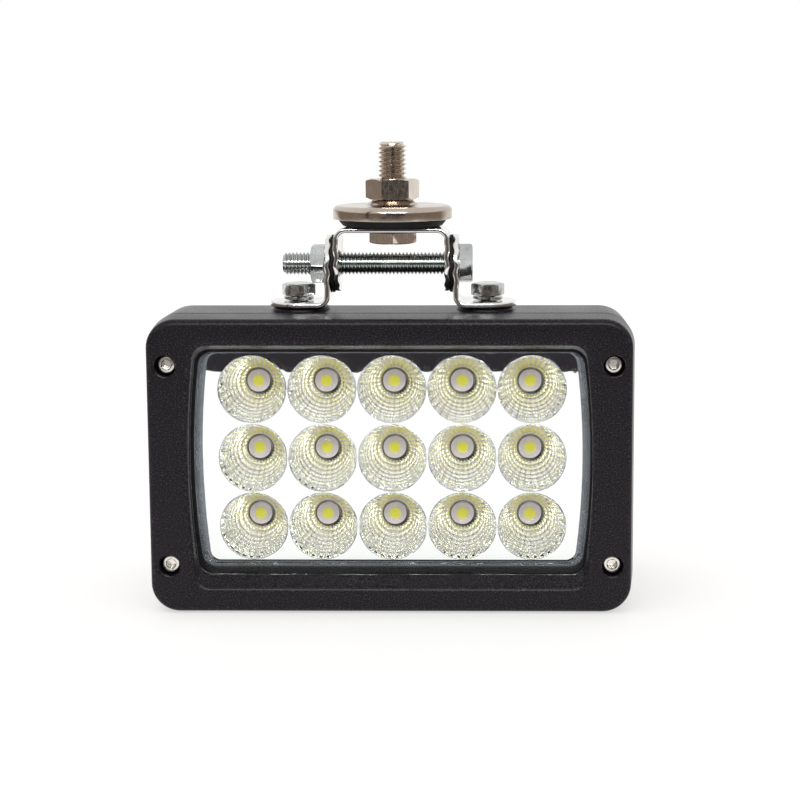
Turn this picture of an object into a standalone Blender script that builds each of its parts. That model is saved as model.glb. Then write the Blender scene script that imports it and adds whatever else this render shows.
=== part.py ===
"""Rectangular fifteen-LED work and fog light on a swivel bracket.

Metres, +Z up. The lamp shines towards -Y and stands on the underside of its housing at Z = 0.
X = 0 is its plane of symmetry. Sizes below are millimetres; every mesh is scaled once, when it
becomes an object. A "depth" is measured backwards from the bezel's flat face.
"""

import math

import bmesh
import bpy
from mathutils import Matrix, Vector

MM = 0.001
GAP = 0.3                # clearance that touching pieces keep
MERGE = 0.00001          # metres

# Lamp, overall
DEPTH = 60.0             # bezel face to fin tips
BEZEL_W, BEZEL_H, BEZEL_R = 159.0, 97.8, 9.5
BODY_W, BODY_H, BODY_R = 162.2, 98.6, 10.5
SEAM = 13.0              # depth of the joint between bezel and housing
BODY_BACK = 36.0         # depth of the housing's back wall
MID_Z = BODY_H / 2

# Window in the bezel: half width, half height, corner radius
FLAT_EDGE = (68.5, 42.1, 6.8)
LIP = (66.9, 38.2, 5.2)
LENS_POCKET = (68.3, 40.8, 6.0)
BOW = 2.0                # how far the upright sides of the window bulge
LIP_FRONT, LIP_BACK = 6.8, 7.6
LENS_FRONT, LENS_BACK = 7.9, 10.5
SEAL_FRONT, SEAL_BACK = 10.8, 11.6

# Reflector
RIM_EDGE = (66.4, 36.6, 5.0)
PANEL = (64.2, 34.7, 4.6)
REFLECTOR_FRONT, PANEL_DEPTH, REFLECTOR_BACK = 11.9, 13.8, 15.2
CUP_COLS, CUP_ROWS, CUP_PITCH = 5, 3, 23.5
CUP_RIM_R, CUP_FLOOR_R, CUP_WALL = 11.4, 4.3, 1.0
CUP_END = 29.8           # depth of the cups' open ends
CUP_SIDES, CUP_STEPS = 16, 3
SHELL_SIDES, SHELL_STEPS = 12, 2

# Behind the reflector
BOARD_FRONT, BOARD_THICK = 31.5, 1.6
FLOOR_FRONT = 33.4
DRIVER_POCKET = (30.5, 17.0, 45.0)
DRIVER_BOSS = (33.5, 20.0, 48.0)

# Screws
SCREW_X, SCREW_Z = 73.3, 33.5            # bezel screws, from the lamp's middle
SCREW_HEAD_R, SCREW_HEAD_H, SCREW_SINK = 3.0, 3.1, 3.5
SCREW_R, SCREW_WAY_R, SCREW_TIP = 1.95, 2.3, 26.0
COUNTERBORE_R = 3.7
BOARD_SCREW_X, BOARD_SCREW_Z = 59.0, 36.0
BOARD_SCREW_R, BOARD_SCREW_WAY_R, BOARD_SCREW_TIP = 1.4, 1.75, 34.9

# Cable gland and vent, on the boss behind the driver
GLAND_X, VENT_X = -12.0, 18.0
GLAND_THREAD_R, GLAND_BORE_R, GLAND_HEX_H = 5.0, 3.2, 3.6
VENT_STEM_R = 2.4

# Bracket, from the lamp's top upwards
BRACKET_DEPTH = 25.0
STRIP_HALF_W = 10.0      # half width of the feet and the U
EASE = 0.25              # clearance between the bracket's stacked pieces
M6_R, M6_FLATS, M6_HEAD_H = 2.9, 10.0, 4.0
M8_R, M8_FLATS, M8_HEAD_H, M8_NUT_H = 3.85, 12.3, 4.5, 5.0
M10_R, M10_FLATS, M10_HEAD_H = 4.7, 15.8, 3.8
BOSS_H = 1.0
FOOT_THICK = 1.75
FOOT_INNER, FOOT_TIP = 20.65, 42.0
FOOT_BOLT_X = 32.2
TILT_Z = 114.1           # height of the cross bolt
EAR_OUTER, EAR_THICK, EAR_R = 19.4, 1.7, 9.6
U_TOP_Z = 126.8
BEND_R = 3.2
PAD_BOTTOM, PAD_TOP = 127.1, 132.4
CUP_WASHER_R, CUP_WASHER_TOP, CUP_WASHER_RIM = 20.2, 134.0, 129.4
NUT_BOTTOM, NUT_TOP = 135.9, 142.9
STUD_TOP = 155.3
TILT_BOLT_END = 37.2     # how far left the cross bolt reaches

BRACKET_Y = BRACKET_DEPTH - DEPTH / 2

# Which way a turned or drilled shape's own +Z points
UP = Matrix.Identity(4)
DOWN = Matrix.Rotation(math.radians(180), 4, "X")
FORWARD = Matrix.Rotation(math.radians(90), 4, "X")
BACKWARD = Matrix.Rotation(math.radians(-90), 4, "X")
RIGHTWARD = Matrix.Rotation(math.radians(90), 4, "Y")
LEFTWARD = Matrix.Rotation(math.radians(-90), 4, "Y")
FLAT_FORWARD = Matrix.Rotation(math.radians(90), 4, "Z")  # up, with a hexagon's flat facing forwards


# --- scene set-up ---------------------------------------------------------------------------

for old in list(bpy.data.objects):
    bpy.data.objects.remove(old)

parts = bpy.data.collections.new("fog_light")
cutters = bpy.data.collections.new("cutters")
bpy.context.scene.collection.children.link(parts)
bpy.context.scene.collection.children.link(cutters)


def material(name, colour, roughness, metallic=0.0, transmission=0.0):
    made = bpy.data.materials.new(name)
    made.use_nodes = True
    shader = made.node_tree.nodes["Principled BSDF"]
    shader.inputs["Base Color"].default_value = (*colour, 1.0)
    shader.inputs["Roughness"].default_value = roughness
    shader.inputs["Metallic"].default_value = metallic
    shader.inputs["Transmission Weight"].default_value = transmission
    return made


BLACK_COAT = material("black_powder_coat", (0.020, 0.019, 0.021), 0.45)
CLEAR = material("clear_glass", (0.95, 0.97, 0.97), 0.03, transmission=1.0)
BLACK_RUBBER = material("black_rubber", (0.015, 0.015, 0.016), 0.75)
MIRROR = material("metallised_plastic", (0.93, 0.93, 0.93), 0.06, metallic=1.0)
STEEL = material("stainless_steel", (0.62, 0.59, 0.55), 0.25, metallic=1.0)
ZINC = material("zinc_plated_steel", (0.66, 0.68, 0.68), 0.32, metallic=1.0)
CHROME = material("polished_plated_steel", (0.80, 0.80, 0.80), 0.14, metallic=1.0)
LED_WHITE = material("led_emitter", (0.80, 0.79, 0.55), 0.35)
BOARD = material("white_circuit_board", (0.82, 0.83, 0.82), 0.5)
DRIVER_GREEN = material("green_circuit_board", (0.05, 0.22, 0.10), 0.5)
BLACK_PLASTIC = material("black_plastic", (0.025, 0.025, 0.027), 0.5)


# --- mesh tools ------------------------------------------------------------------------------

def y_at(depth):
    """Y of a depth behind the bezel's face."""
    return depth - DEPTH / 2


def at(x, depth, z):
    return Vector((x, y_at(depth), z))


def pivot(name, point):
    """An empty on a joint's axis."""
    empty = bpy.data.objects.new(name, None)
    empty.location = point * MM
    parts.objects.link(empty)
    return empty


TILT_AXIS = pivot("tilt_axis", Vector((0, BRACKET_Y, TILT_Z)))
SWIVEL_AXIS = pivot("swivel_axis", Vector((0, BRACKET_Y, U_TOP_Z)))
NUT_AXIS = pivot("nut_axis", Vector((0, BRACKET_Y, NUT_BOTTOM)))


def as_object(name, mesh, finish, place=None, parent=None, collection=None):
    """A mesh drawn in millimetres becomes an object in metres, under its joint's empty if it has one."""
    obj = bpy.data.objects.new(name, mesh)
    (collection or parts).objects.link(obj)
    if finish and not mesh.materials:
        mesh.materials.append(finish)
    world = Matrix.Scale(MM, 4) @ (place or UP)
    if parent:
        obj.parent = parent
        world = Matrix.Translation(-parent.location) @ world
    if not mesh.get("in_metres"):
        mesh.transform(Matrix.Scale(MM, 4))
        mesh["in_metres"] = True
    obj.matrix_basis = world @ Matrix.Scale(1 / MM, 4)
    return obj


def finished_mesh(name, bm, smooth_angle=35):
    bmesh.ops.recalc_face_normals(bm, faces=bm.faces)
    mesh = bpy.data.meshes.new(name)
    bm.to_mesh(mesh)
    bm.free()
    mesh.shade_smooth()
    mesh.set_sharp_from_angle(angle=math.radians(smooth_angle))
    return mesh


def loft(bm, rings):
    """Joins closed sections of equal point count and closes both ends."""
    loops = [[bm.verts.new(point) for point in ring] for ring in rings]
    for first, second in zip(loops, loops[1:]):
        for i in range(len(first)):
            j = (i + 1) % len(first)
            bm.faces.new((first[i], first[j], second[j], second[i]))
    bm.faces.new(loops[0])
    bm.faces.new(loops[-1])


def loft_mesh(name, rings):
    bm = bmesh.new()
    loft(bm, rings)
    return finished_mesh(name, bm)


def window_outline(half_w, half_h, radius, bow=0.0, corner_steps=5, side_steps=3):
    """(x, z) points of a round-cornered rectangle whose upright sides may bulge by bow."""
    lean = 2 * bow / (half_h - radius)
    side_end = half_h - radius * (1 - math.sin(lean))
    corner_x = half_w - bow - radius * math.cos(lean)
    quarter = []
    for i in range(side_steps):
        z = side_end * i / side_steps
        quarter.append((half_w - bow * (z / side_end) ** 2, z))
    for i in range(corner_steps + 1):
        angle = lean + (math.pi / 2 - lean) * i / corner_steps
        quarter.append((corner_x + radius * math.cos(angle), half_h - radius + radius * math.sin(angle)))
    top = quarter + [(-x, z) for x, z in reversed(quarter)]
    bottom = [(-x, -z) for x, z in quarter[1:]] + [(x, -z) for x, z in reversed(quarter[1:])]
    return top + bottom


def window_ring(depth, size, bow=0.0, inset=0.0):
    half_w, half_h, radius = size
    outline = window_outline(half_w - inset, half_h - inset, max(radius - inset, 1.0), bow)
    return [at(x, depth, MID_Z + z) for x, z in outline]


def turned_mesh(name, profile, steps=24):
    """Screw modifier on an (r, z) profile, applied. A closed profile makes a ring."""
    mesh = bpy.data.meshes.new(name)
    count = len(profile)
    closed = profile[0][0] > 0
    edges = [(i, i + 1) for i in range(count - 1)]
    if closed:
        edges.append((count - 1, 0))
    mesh.from_pydata([(r * MM, 0, z * MM) for r, z in profile], edges, [])
    obj = bpy.data.objects.new(name, mesh)
    cutters.objects.link(obj)
    screw = obj.modifiers.new("turn", "SCREW")
    screw.steps = steps
    screw.render_steps = steps
    screw.use_merge_vertices = True
    screw.merge_threshold = MERGE
    bpy.context.view_layer.update()
    evaluated = obj.evaluated_get(bpy.context.evaluated_depsgraph_get())
    bm = bmesh.new()
    bm.from_mesh(evaluated.to_mesh())
    bmesh.ops.remove_doubles(bm, verts=bm.verts, dist=MERGE)
    bpy.data.objects.remove(obj)
    made = finished_mesh(name, bm)
    made["in_metres"] = True
    return made


def turned(name, profile, finish, place, parent=None, steps=24):
    return as_object(name, turned_mesh(name, profile, steps), finish, place, parent)


def cutter(name, mesh, place=None):
    obj = as_object(name, mesh, None, place, collection=cutters)
    obj.hide_render = True
    obj.display_type = "WIRE"
    return obj


def boolean(target, tool, operation="DIFFERENCE", tool_overlaps_itself=False):
    step = target.modifiers.new(tool.name, "BOOLEAN")
    step.operation = operation
    step.solver = "EXACT"
    step.use_self = tool_overlaps_itself
    step.object = tool


def box_mesh(name, low, high):
    bm = bmesh.new()
    middle = (low + high) / 2
    size = high - low
    scale = Matrix.Diagonal((*size, 1.0))
    bmesh.ops.create_cube(bm, size=1.0, matrix=Matrix.Translation(middle) @ scale)
    return finished_mesh(name, bm)


def rods_mesh(name, radius, length, starts, turn, segments=24):
    """Separate round rods: each starts at its point and runs along the turned +Z."""
    bm = bmesh.new()
    for start in starts:
        place = Matrix.Translation(start) @ turn @ Matrix.Translation((0, 0, length / 2))
        bmesh.ops.create_cone(bm, cap_ends=True, segments=segments, radius1=radius,
                              radius2=radius, depth=length, matrix=place)
    return finished_mesh(name, bm)


def drill(target, name, radius, length, starts, turn, segments=24):
    boolean(target, cutter(name, rods_mesh(name, radius, length, starts, turn, segments)))


def plate(name, outlines, front, thickness, finish):
    """A flat sheet facing -Y: the first outline is its edge, the others are holes."""
    curve = bpy.data.curves.new(name, "CURVE")
    curve.dimensions = "2D"
    curve.fill_mode = "BOTH"
    curve.extrude = thickness / 2 * MM
    for outline in outlines:
        spline = curve.splines.new("POLY")
        spline.points.add(len(outline) - 1)
        for point, (x, z) in zip(spline.points, outline):
            point.co = (x * MM, z * MM, 0, 1)
        spline.use_cyclic_u = True
    flat = bpy.data.objects.new(name + "_outline", curve)
    cutters.objects.link(flat)
    bpy.context.view_layer.update()
    evaluated = flat.evaluated_get(bpy.context.evaluated_depsgraph_get())
    bm = bmesh.new()
    bm.from_mesh(bpy.data.meshes.new_from_object(evaluated))
    bmesh.ops.remove_doubles(bm, verts=bm.verts, dist=MERGE)
    bpy.data.objects.remove(flat)
    mesh = finished_mesh(name, bm)
    mesh["in_metres"] = True
    middle = Matrix.Translation(at(0, front + thickness / 2, MID_Z))
    return as_object(name, mesh, finish, middle @ FORWARD)


def circle(x, z, radius, steps=12):
    return [(x + radius * math.cos(a), z + radius * math.sin(a))
            for a in (2 * math.pi * i / steps for i in range(steps))]


def corners(x, z):
    return [(sx * x, sz * z) for sx in (-1, 1) for sz in (-1, 1)]


# --- bezel, lens and seals -------------------------------------------------------------------

def build_bezel():
    face = (BEZEL_W / 2, BEZEL_H / 2, BEZEL_R)
    seam = (BODY_W / 2, BODY_H / 2, BODY_R)
    edge_r = 2.0
    rings = []
    for angle in (0, 30, 60, 90):
        turn = math.radians(angle)
        rings.append(window_ring(edge_r * (1 - math.cos(turn)), face, inset=edge_r * (1 - math.sin(turn))))
    rings.append(window_ring(SEAM - 0.5, seam))
    rings.append(window_ring(SEAM, seam, inset=0.4))
    bezel = as_object("front_bezel", loft_mesh("front_bezel", rings), BLACK_COAT)

    round_r = 1.4
    opening = [window_ring(-1.0, FLAT_EDGE, BOW)]
    for angle in (0, 25, 50, 75):
        turn = math.radians(angle)
        opening.append(window_ring(round_r * (1 - math.cos(turn)), FLAT_EDGE, BOW, round_r * math.sin(turn)))
    opening.append(window_ring(LIP_FRONT, LIP, BOW))
    opening.append(window_ring(LIP_BACK, LIP, BOW))
    opening.append(window_ring(LIP_BACK, LENS_POCKET, BOW))
    opening.append(window_ring(SEAM + 1, LENS_POCKET, BOW))
    boolean(bezel, cutter("window_cut", loft_mesh("window_cut", opening)))

    holes = corners(SCREW_X, SCREW_Z)
    head_floor = SCREW_SINK + SCREW_HEAD_H + GAP
    drill(bezel, "counterbores", COUNTERBORE_R, head_floor + 1,
          [at(x, -1, MID_Z + z) for x, z in holes], BACKWARD)
    drill(bezel, "screw_ways", SCREW_WAY_R, SEAM + 2, [at(x, -1, MID_Z + z) for x, z in holes], BACKWARD, 16)


def build_bezel_screws():
    """Hex-socket cap screws; the socket is a six-sided turned recess."""
    head_front = -SCREW_SINK
    profile = [(0, head_front - 1.8), (1.6, head_front - 1.8), (1.6, head_front), (2.6, head_front),
               (SCREW_HEAD_R, head_front - 0.4), (SCREW_HEAD_R, head_front - SCREW_HEAD_H),
               (SCREW_R, head_front - SCREW_HEAD_H), (SCREW_R, -SCREW_TIP), (0, -SCREW_TIP)]
    mesh = turned_mesh("bezel_screw", profile, 20)
    for number, (x, z) in enumerate(corners(SCREW_X, SCREW_Z), 1):
        as_object(f"bezel_screw_{number}", mesh, STEEL, Matrix.Translation(at(x, 0, MID_Z + z)) @ FORWARD)


def build_lens_and_seals():
    slack = 0.3
    lens_size = tuple(v - slack for v in LENS_POCKET)
    plate("lens", [window_outline(*lens_size, BOW)], LENS_FRONT, LENS_BACK - LENS_FRONT, CLEAR)
    plate("lens_gasket", [window_outline(*lens_size, BOW), window_outline(*RIM_EDGE, BOW)],
          SEAL_FRONT, SEAL_BACK - SEAL_FRONT, BLACK_RUBBER)
    plate("housing_gasket", [window_outline(70.6, 45.0, 8.0), window_outline(68.9, 43.3, 6.5)],
          SEAM + GAP, 0.9, BLACK_RUBBER)


# --- reflector, LEDs and boards --------------------------------------------------------------

def cup_centres():
    for row in range(CUP_ROWS):
        for col in range(CUP_COLS):
            yield CUP_PITCH * (col - (CUP_COLS - 1) / 2), CUP_PITCH * ((CUP_ROWS - 1) / 2 - row)


def cup_radius(depth):
    """A paraboloid between the rim and the open end."""
    share = (CUP_END - depth) / (CUP_END - PANEL_DEPTH)
    return math.sqrt(CUP_FLOOR_R ** 2 + (CUP_RIM_R ** 2 - CUP_FLOOR_R ** 2) * share)


def cup_stations(steps):
    """Depths from a cup's open end forwards to its rim."""
    return [CUP_END + (PANEL_DEPTH - CUP_END) * i / steps for i in range(steps + 1)]


def fifteen_cups(name, profile, sides):
    """One mesh with a turned solid on every cup's axis; its profile runs along the depth."""
    single = turned_mesh(name, profile, sides)
    bm = bmesh.new()
    for x, z in cup_centres():
        copy = single.copy()
        copy.transform(Matrix.Translation(Vector((x, 0, MID_Z + z)) * MM) @ BACKWARD)
        bm.from_mesh(copy)
        bpy.data.meshes.remove(copy)
    mesh = finished_mesh(name, bm)
    mesh["in_metres"] = True
    return mesh


def build_reflector():
    body = tuple(v - 0.4 for v in LENS_POCKET)
    rings = [window_ring(REFLECTOR_FRONT, body, BOW), window_ring(REFLECTOR_BACK, body, BOW)]
    reflector = as_object("reflector", loft_mesh("reflector", rings), MIRROR)

    shells = [(0, y_at(CUP_END))]
    shells += [(cup_radius(d) + CUP_WALL, y_at(d)) for d in cup_stations(SHELL_STEPS)]
    shells += [(0, y_at(PANEL_DEPTH))]
    shells_mesh = fifteen_cups("cup_shells", shells, SHELL_SIDES)
    boolean(reflector, cutter("cup_shells", shells_mesh), "UNION", tool_overlaps_itself=True)

    recess = [window_ring(REFLECTOR_FRONT - 1, RIM_EDGE, BOW), window_ring(REFLECTOR_FRONT, RIM_EDGE, BOW),
              window_ring(PANEL_DEPTH, PANEL, BOW)]
    boolean(reflector, cutter("panel_recess", loft_mesh("panel_recess", recess)))

    hollow = [(0, y_at(CUP_END + 1)), (CUP_FLOOR_R, y_at(CUP_END + 1))]
    hollow += [(cup_radius(d), y_at(d)) for d in cup_stations(CUP_STEPS)]
    hollow += [(CUP_RIM_R, y_at(PANEL_DEPTH - 1)), (0, y_at(PANEL_DEPTH - 1))]
    boolean(reflector, cutter("cup_hollows", fifteen_cups("cup_hollows", hollow, CUP_SIDES)))


def build_leds():
    back = BOARD_FRONT - GAP
    base_r, base_h, dome_r = 4.0, 1.4, 3.7
    profile = [(0, -back), (base_r, -back), (base_r, base_h - back)]
    for angle in (5, 25, 45, 65):
        turn = math.radians(angle)
        profile.append((dome_r * math.cos(turn), base_h - back + dome_r * 0.8 * math.sin(turn)))
    profile.append((0, base_h - back + dome_r * 0.8))
    mesh = turned_mesh("led", profile, 16)
    for number, (x, z) in enumerate(cup_centres(), 1):
        as_object(f"led_{number:02d}", mesh, LED_WHITE, Matrix.Translation(at(x, 0, MID_Z + z)) @ FORWARD)


def build_boards():
    screws = corners(BOARD_SCREW_X, BOARD_SCREW_Z)
    holes = [circle(x, z, BOARD_SCREW_R + GAP) for x, z in screws]
    plate("led_board", [window_outline(64.0, 40.0, 3.0), *holes], BOARD_FRONT, BOARD_THICK, BOARD)

    head_back = BOARD_FRONT - GAP
    profile = [(0, -head_back + 1.7), (2.0, -head_back + 1.6), (2.7, -head_back + 0.8),
               (2.7, -head_back), (BOARD_SCREW_R, -head_back), (BOARD_SCREW_R, -BOARD_SCREW_TIP),
               (0, -BOARD_SCREW_TIP)]
    mesh = turned_mesh("board_screw", profile, 12)
    for number, (x, z) in enumerate(screws, 1):
        as_object(f"board_screw_{number}", mesh, STEEL, Matrix.Translation(at(x, 0, MID_Z + z)) @ FORWARD)

    driver = as_object("driver_board", box_mesh("driver_board", at(-28, 42.6, MID_Z - 14),
                                                at(28, 44.2, MID_Z + 14)), DRIVER_GREEN)
    choke = rods_mesh("choke", 6.5, 7.0, [at(-14, 36, MID_Z)], BACKWARD, 16)
    boolean(driver, cutter("choke", choke), "UNION")
    chips = box_mesh("chips", at(4, 39, MID_Z - 6), at(18, 43, MID_Z + 7))
    boolean(driver, cutter("chips", chips), "UNION")


# --- housing ---------------------------------------------------------------------------------

def fins_mesh():
    root, tip = BODY_BACK - 1.2, DEPTH
    fin_thick, fin_pitch, fins_each_side = 2.0, 9.0, 8
    side = [(root, 4.0), (tip, 11.0), (tip, BODY_H - 11.0), (root, BODY_H - 4.0)]
    bm = bmesh.new()
    for number in range(-fins_each_side, fins_each_side + 1):
        x = number * fin_pitch
        loft(bm, [[at(x + s * fin_thick / 2, d, z) for d, z in side] for s in (-1, 1)])
    return finished_mesh("fins", bm)


def foot_bosses_mesh():
    bm = bmesh.new()
    for side in (-1, 1):
        outline = window_outline(11.6, STRIP_HALF_W + 0.5, 9.5)
        centre_x = side * (FOOT_BOLT_X - 0.9)
        rings = [[Vector((centre_x + x, BRACKET_Y + y, z)) for x, y in outline]
                 for z in (BODY_H - 1.5, BODY_H + BOSS_H)]
        loft(bm, rings)
    return finished_mesh("foot_bosses", bm)


def build_housing():
    body = (BODY_W / 2, BODY_H / 2, BODY_R)
    edge_r = 2.5
    rings = [window_ring(SEAM + GAP, body, inset=0.4), window_ring(SEAM + GAP + 0.5, body)]
    for angle in (90, 60, 30, 0):
        turn = math.radians(angle)
        rings.append(window_ring(BODY_BACK - edge_r * (1 - math.cos(turn)), body,
                                 inset=edge_r * (1 - math.sin(turn))))
    housing = as_object("rear_housing", loft_mesh("rear_housing", rings), BLACK_COAT)
    boolean(housing, cutter("fins", fins_mesh()), "UNION")

    boss_x, boss_z, boss_back = DRIVER_BOSS
    boss = box_mesh("driver_boss", at(-boss_x, BODY_BACK - 2, MID_Z - boss_z),
                    at(boss_x, boss_back + 0.5, MID_Z + boss_z))
    boolean(housing, cutter("driver_boss", boss), "UNION")
    clear = box_mesh("fin_clearing", at(-boss_x - 4.5, boss_back, MID_Z - boss_z - 4),
                     at(boss_x + 4.5, DEPTH + 1, MID_Z + boss_z + 4))
    boolean(housing, cutter("fin_clearing", clear))
    boolean(housing, cutter("foot_bosses", foot_bosses_mesh()), "UNION")

    chamber = [window_ring(SEAM - 1, (70.9, 45.3, 8.3)), window_ring(SEAM + 1.5, (70.9, 45.3, 8.3)),
               window_ring(SEAM + 1.5, (68.6, 43.0, 6.2)), window_ring(FLOOR_FRONT, (68.6, 43.0, 6.2))]
    boolean(housing, cutter("chamber", loft_mesh("chamber", chamber)))
    pocket_x, pocket_z, pocket_back = DRIVER_POCKET
    pocket = box_mesh("driver_pocket", at(-pocket_x, FLOOR_FRONT - 1, MID_Z - pocket_z),
                      at(pocket_x, pocket_back, MID_Z + pocket_z))
    boolean(housing, cutter("driver_pocket", pocket))

    drill(housing, "bezel_screw_holes", SCREW_WAY_R, SCREW_TIP - SEAM + 2,
          [at(x, SEAM - 1, MID_Z + z) for x, z in corners(SCREW_X, SCREW_Z)], BACKWARD, 16)
    drill(housing, "board_screw_holes", BOARD_SCREW_WAY_R, BOARD_SCREW_TIP + GAP - FLOOR_FRONT + 1,
          [at(x, FLOOR_FRONT - 1, MID_Z + z) for x, z in corners(BOARD_SCREW_X, BOARD_SCREW_Z)], BACKWARD, 12)
    drill(housing, "foot_bolt_holes", M6_R + 0.4, 8.0,
          [Vector((side * FOOT_BOLT_X, BRACKET_Y, BODY_H - 5.0)) for side in (-1, 1)], UP, 16)
    drill(housing, "gland_hole", GLAND_THREAD_R + GAP, 6.0, [at(GLAND_X, pocket_back - 1, MID_Z)],
          BACKWARD, 20)
    drill(housing, "vent_hole", VENT_STEM_R + GAP, 6.0, [at(VENT_X, pocket_back - 1, MID_Z)], BACKWARD, 16)


def build_gland_and_vent():
    back = DRIVER_BOSS[2] + GAP
    hexagon = rods_mesh("gland_body", 7.4, GLAND_HEX_H, [at(GLAND_X, back, MID_Z)], BACKWARD, 6)
    gland = as_object("gland_body", hexagon, BLACK_PLASTIC)
    thread = rods_mesh("gland_thread", GLAND_THREAD_R, 12.0, [at(GLAND_X, back - 3.9, MID_Z)], BACKWARD, 20)
    boolean(gland, cutter("gland_thread", thread), "UNION")
    drill(gland, "gland_bore", GLAND_BORE_R, 20.0, [at(GLAND_X, back - 6, MID_Z)], BACKWARD, 16)

    start = y_at(back + GLAND_HEX_H + GAP)
    inner, outer = GLAND_THREAD_R + GAP, 6.9
    profile = [(inner, start), (outer, start), (outer, start + 4.6), (5.4, start + 7.0),
               (GLAND_BORE_R, start + 7.0), (GLAND_BORE_R, start + 5.6), (inner, start + 4.6)]
    turned("gland_nut", profile, BLACK_PLASTIC, Matrix.Translation((GLAND_X, 0, MID_Z)) @ BACKWARD)

    start = y_at(back)
    profile = [(0, start - 3.6), (VENT_STEM_R, start - 3.6), (VENT_STEM_R, start), (4.5, start),
               (4.5, start + 2.0), (3.8, start + 2.6), (0, start + 2.6)]
    turned("vent_plug", profile, BLACK_PLASTIC, Matrix.Translation((VENT_X, 0, MID_Z)) @ BACKWARD)


# --- bracket ---------------------------------------------------------------------------------

def bend(centre_x, centre_z, radius, start, end, steps=5):
    """(x, z) points of an arc; angles in degrees, anticlockwise from +X."""
    points = []
    for i in range(steps + 1):
        angle = math.radians(start + (end - start) * i / steps)
        points.append((centre_x + radius * math.cos(angle), centre_z + radius * math.sin(angle)))
    return points


def strip_mesh(name, path, half_w, thickness, end_r):
    """A pressed strip along an (x, z) path, with both ends rounded to end_r in its own plane."""
    lengths = [0.0]
    for (x0, z0), (x1, z1) in zip(path, path[1:]):
        lengths.append(lengths[-1] + math.hypot(x1 - x0, z1 - z0))
    total = lengths[-1]
    rounding = [end_r * (1 - math.cos(math.radians(a))) for a in (10, 25, 40, 55, 70, 90)]
    stations = sorted(rounding + [s for s in lengths if end_r < s < total - end_r]
                      + [total - s for s in rounding])

    def point_at(s):
        for (x0, z0), (x1, z1), s0, s1 in zip(path, path[1:], lengths, lengths[1:]):
            if s <= s1 + 1e-6:
                share = (s - s0) / (s1 - s0)
                return Vector((x0 + (x1 - x0) * share, z0 + (z1 - z0) * share))
        return Vector(path[-1])

    rings = []
    for s in stations:
        ahead, behind = point_at(min(s + 0.05, total)), point_at(max(s - 0.05, 0.0))
        along = (ahead - behind).normalized()
        across = Vector((-along.y, along.x)) * thickness / 2
        reach = end_r - min(end_r, s, total - s)
        width = half_w - end_r + math.sqrt(end_r ** 2 - reach ** 2)
        centre = point_at(s)
        rings.append([Vector((centre.x + k * across.x, BRACKET_Y + w * width, centre.y + k * across.y))
                      for k, w in ((-1, -1), (1, -1), (1, 1), (-1, 1))])
    return loft_mesh(name, rings)


def build_feet():
    low = BODY_H + BOSS_H + EASE + FOOT_THICK / 2
    upright = FOOT_INNER + FOOT_THICK / 2
    path = [(FOOT_TIP, low)] + bend(upright + BEND_R, low + BEND_R, BEND_R, 270, 180)
    path.append((upright, TILT_Z + STRIP_HALF_W))
    for side, name in ((1, "right"), (-1, "left")):
        mirrored = [(side * x, z) for x, z in path]
        foot = as_object(f"foot_{name}", strip_mesh(f"foot_{name}", mirrored, STRIP_HALF_W, FOOT_THICK,
                                                    STRIP_HALF_W), CHROME)
        drill(foot, f"foot_bolt_way_{name}", M6_R + 0.5, 8.0,
              [Vector((side * FOOT_BOLT_X, BRACKET_Y, low - 4))], UP, 20)
        drill(foot, f"foot_pivot_way_{name}", M8_R + 0.35, 8.0,
              [Vector((side * upright - 4, BRACKET_Y, TILT_Z))], RIGHTWARD)
        build_foot_fixing(side, name, low + FOOT_THICK / 2)


def build_foot_fixing(side, name, flange_top):
    """A split spring washer and the hex bolt that holds the foot to its boss."""
    centre = Vector((side * FOOT_BOLT_X, BRACKET_Y, 0))
    washer_bottom, washer_h, inner, outer = flange_top + EASE, 1.3, 3.3, 5.1
    split = [math.radians(8 + 344 * i / 18) for i in range(19)]
    outline = [(outer * math.cos(a), outer * math.sin(a)) for a in split]
    outline += [(inner * math.cos(a), inner * math.sin(a)) for a in reversed(split)]
    rings = [[centre + Vector((x, y, z)) for x, y in outline]
             for z in (washer_bottom, washer_bottom + washer_h)]
    as_object(f"foot_spring_washer_{name}", loft_mesh(f"foot_spring_washer_{name}", rings), ZINC)
    head_bottom = washer_bottom + washer_h + EASE
    hex_bolt(f"foot_bolt_{name}", centre + Vector((0, 0, head_bottom)), FLAT_FORWARD, M6_FLATS, M6_HEAD_H,
             M6_R, head_bottom - (BODY_H - 4.6), ZINC)


def hex_prism(name, across_flats, height, place, chamfer_bottom):
    """A short hexagon bar whose corners are turned off at the top, and at the bottom if asked."""
    corner_r = across_flats / math.sqrt(3)
    bar = rods_mesh(name, corner_r, height, [Vector((0, 0, 0))], UP, 6)
    obj = as_object(name, bar, None, place)
    flat_r, drop = across_flats / 2 * 0.98, (corner_r - across_flats / 2) * 0.55
    limit_r = corner_r + 0.2
    profile = [(0, 0), (flat_r, 0), (limit_r, drop)] if chamfer_bottom else [(0, -1), (limit_r, -1)]
    profile += [(limit_r, height - drop), (flat_r, height), (0, height)]
    limit = turned_mesh(f"{name}_corners", profile, 30)
    boolean(obj, cutter(f"{name}_corners", limit, place), "INTERSECT")
    return obj


def hex_bolt(name, head_base, turn, across_flats, head_h, shank_r, shank_length, finish, parent=None):
    """The head grows along the turned +Z from head_base and the shank runs the other way."""
    place = Matrix.Translation(head_base) @ turn
    bolt = hex_prism(name, across_flats, head_h, place, chamfer_bottom=False)
    profile = [(0, 1.0), (shank_r, 1.0), (shank_r, 0.6 - shank_length), (shank_r - 0.6, -shank_length),
               (0, -shank_length)]
    boolean(bolt, cutter(f"{name}_shank", turned_mesh(f"{name}_shank", profile, 24), place), "UNION")
    bolt.data.materials.append(finish)
    adopt(bolt, parent)


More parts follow.
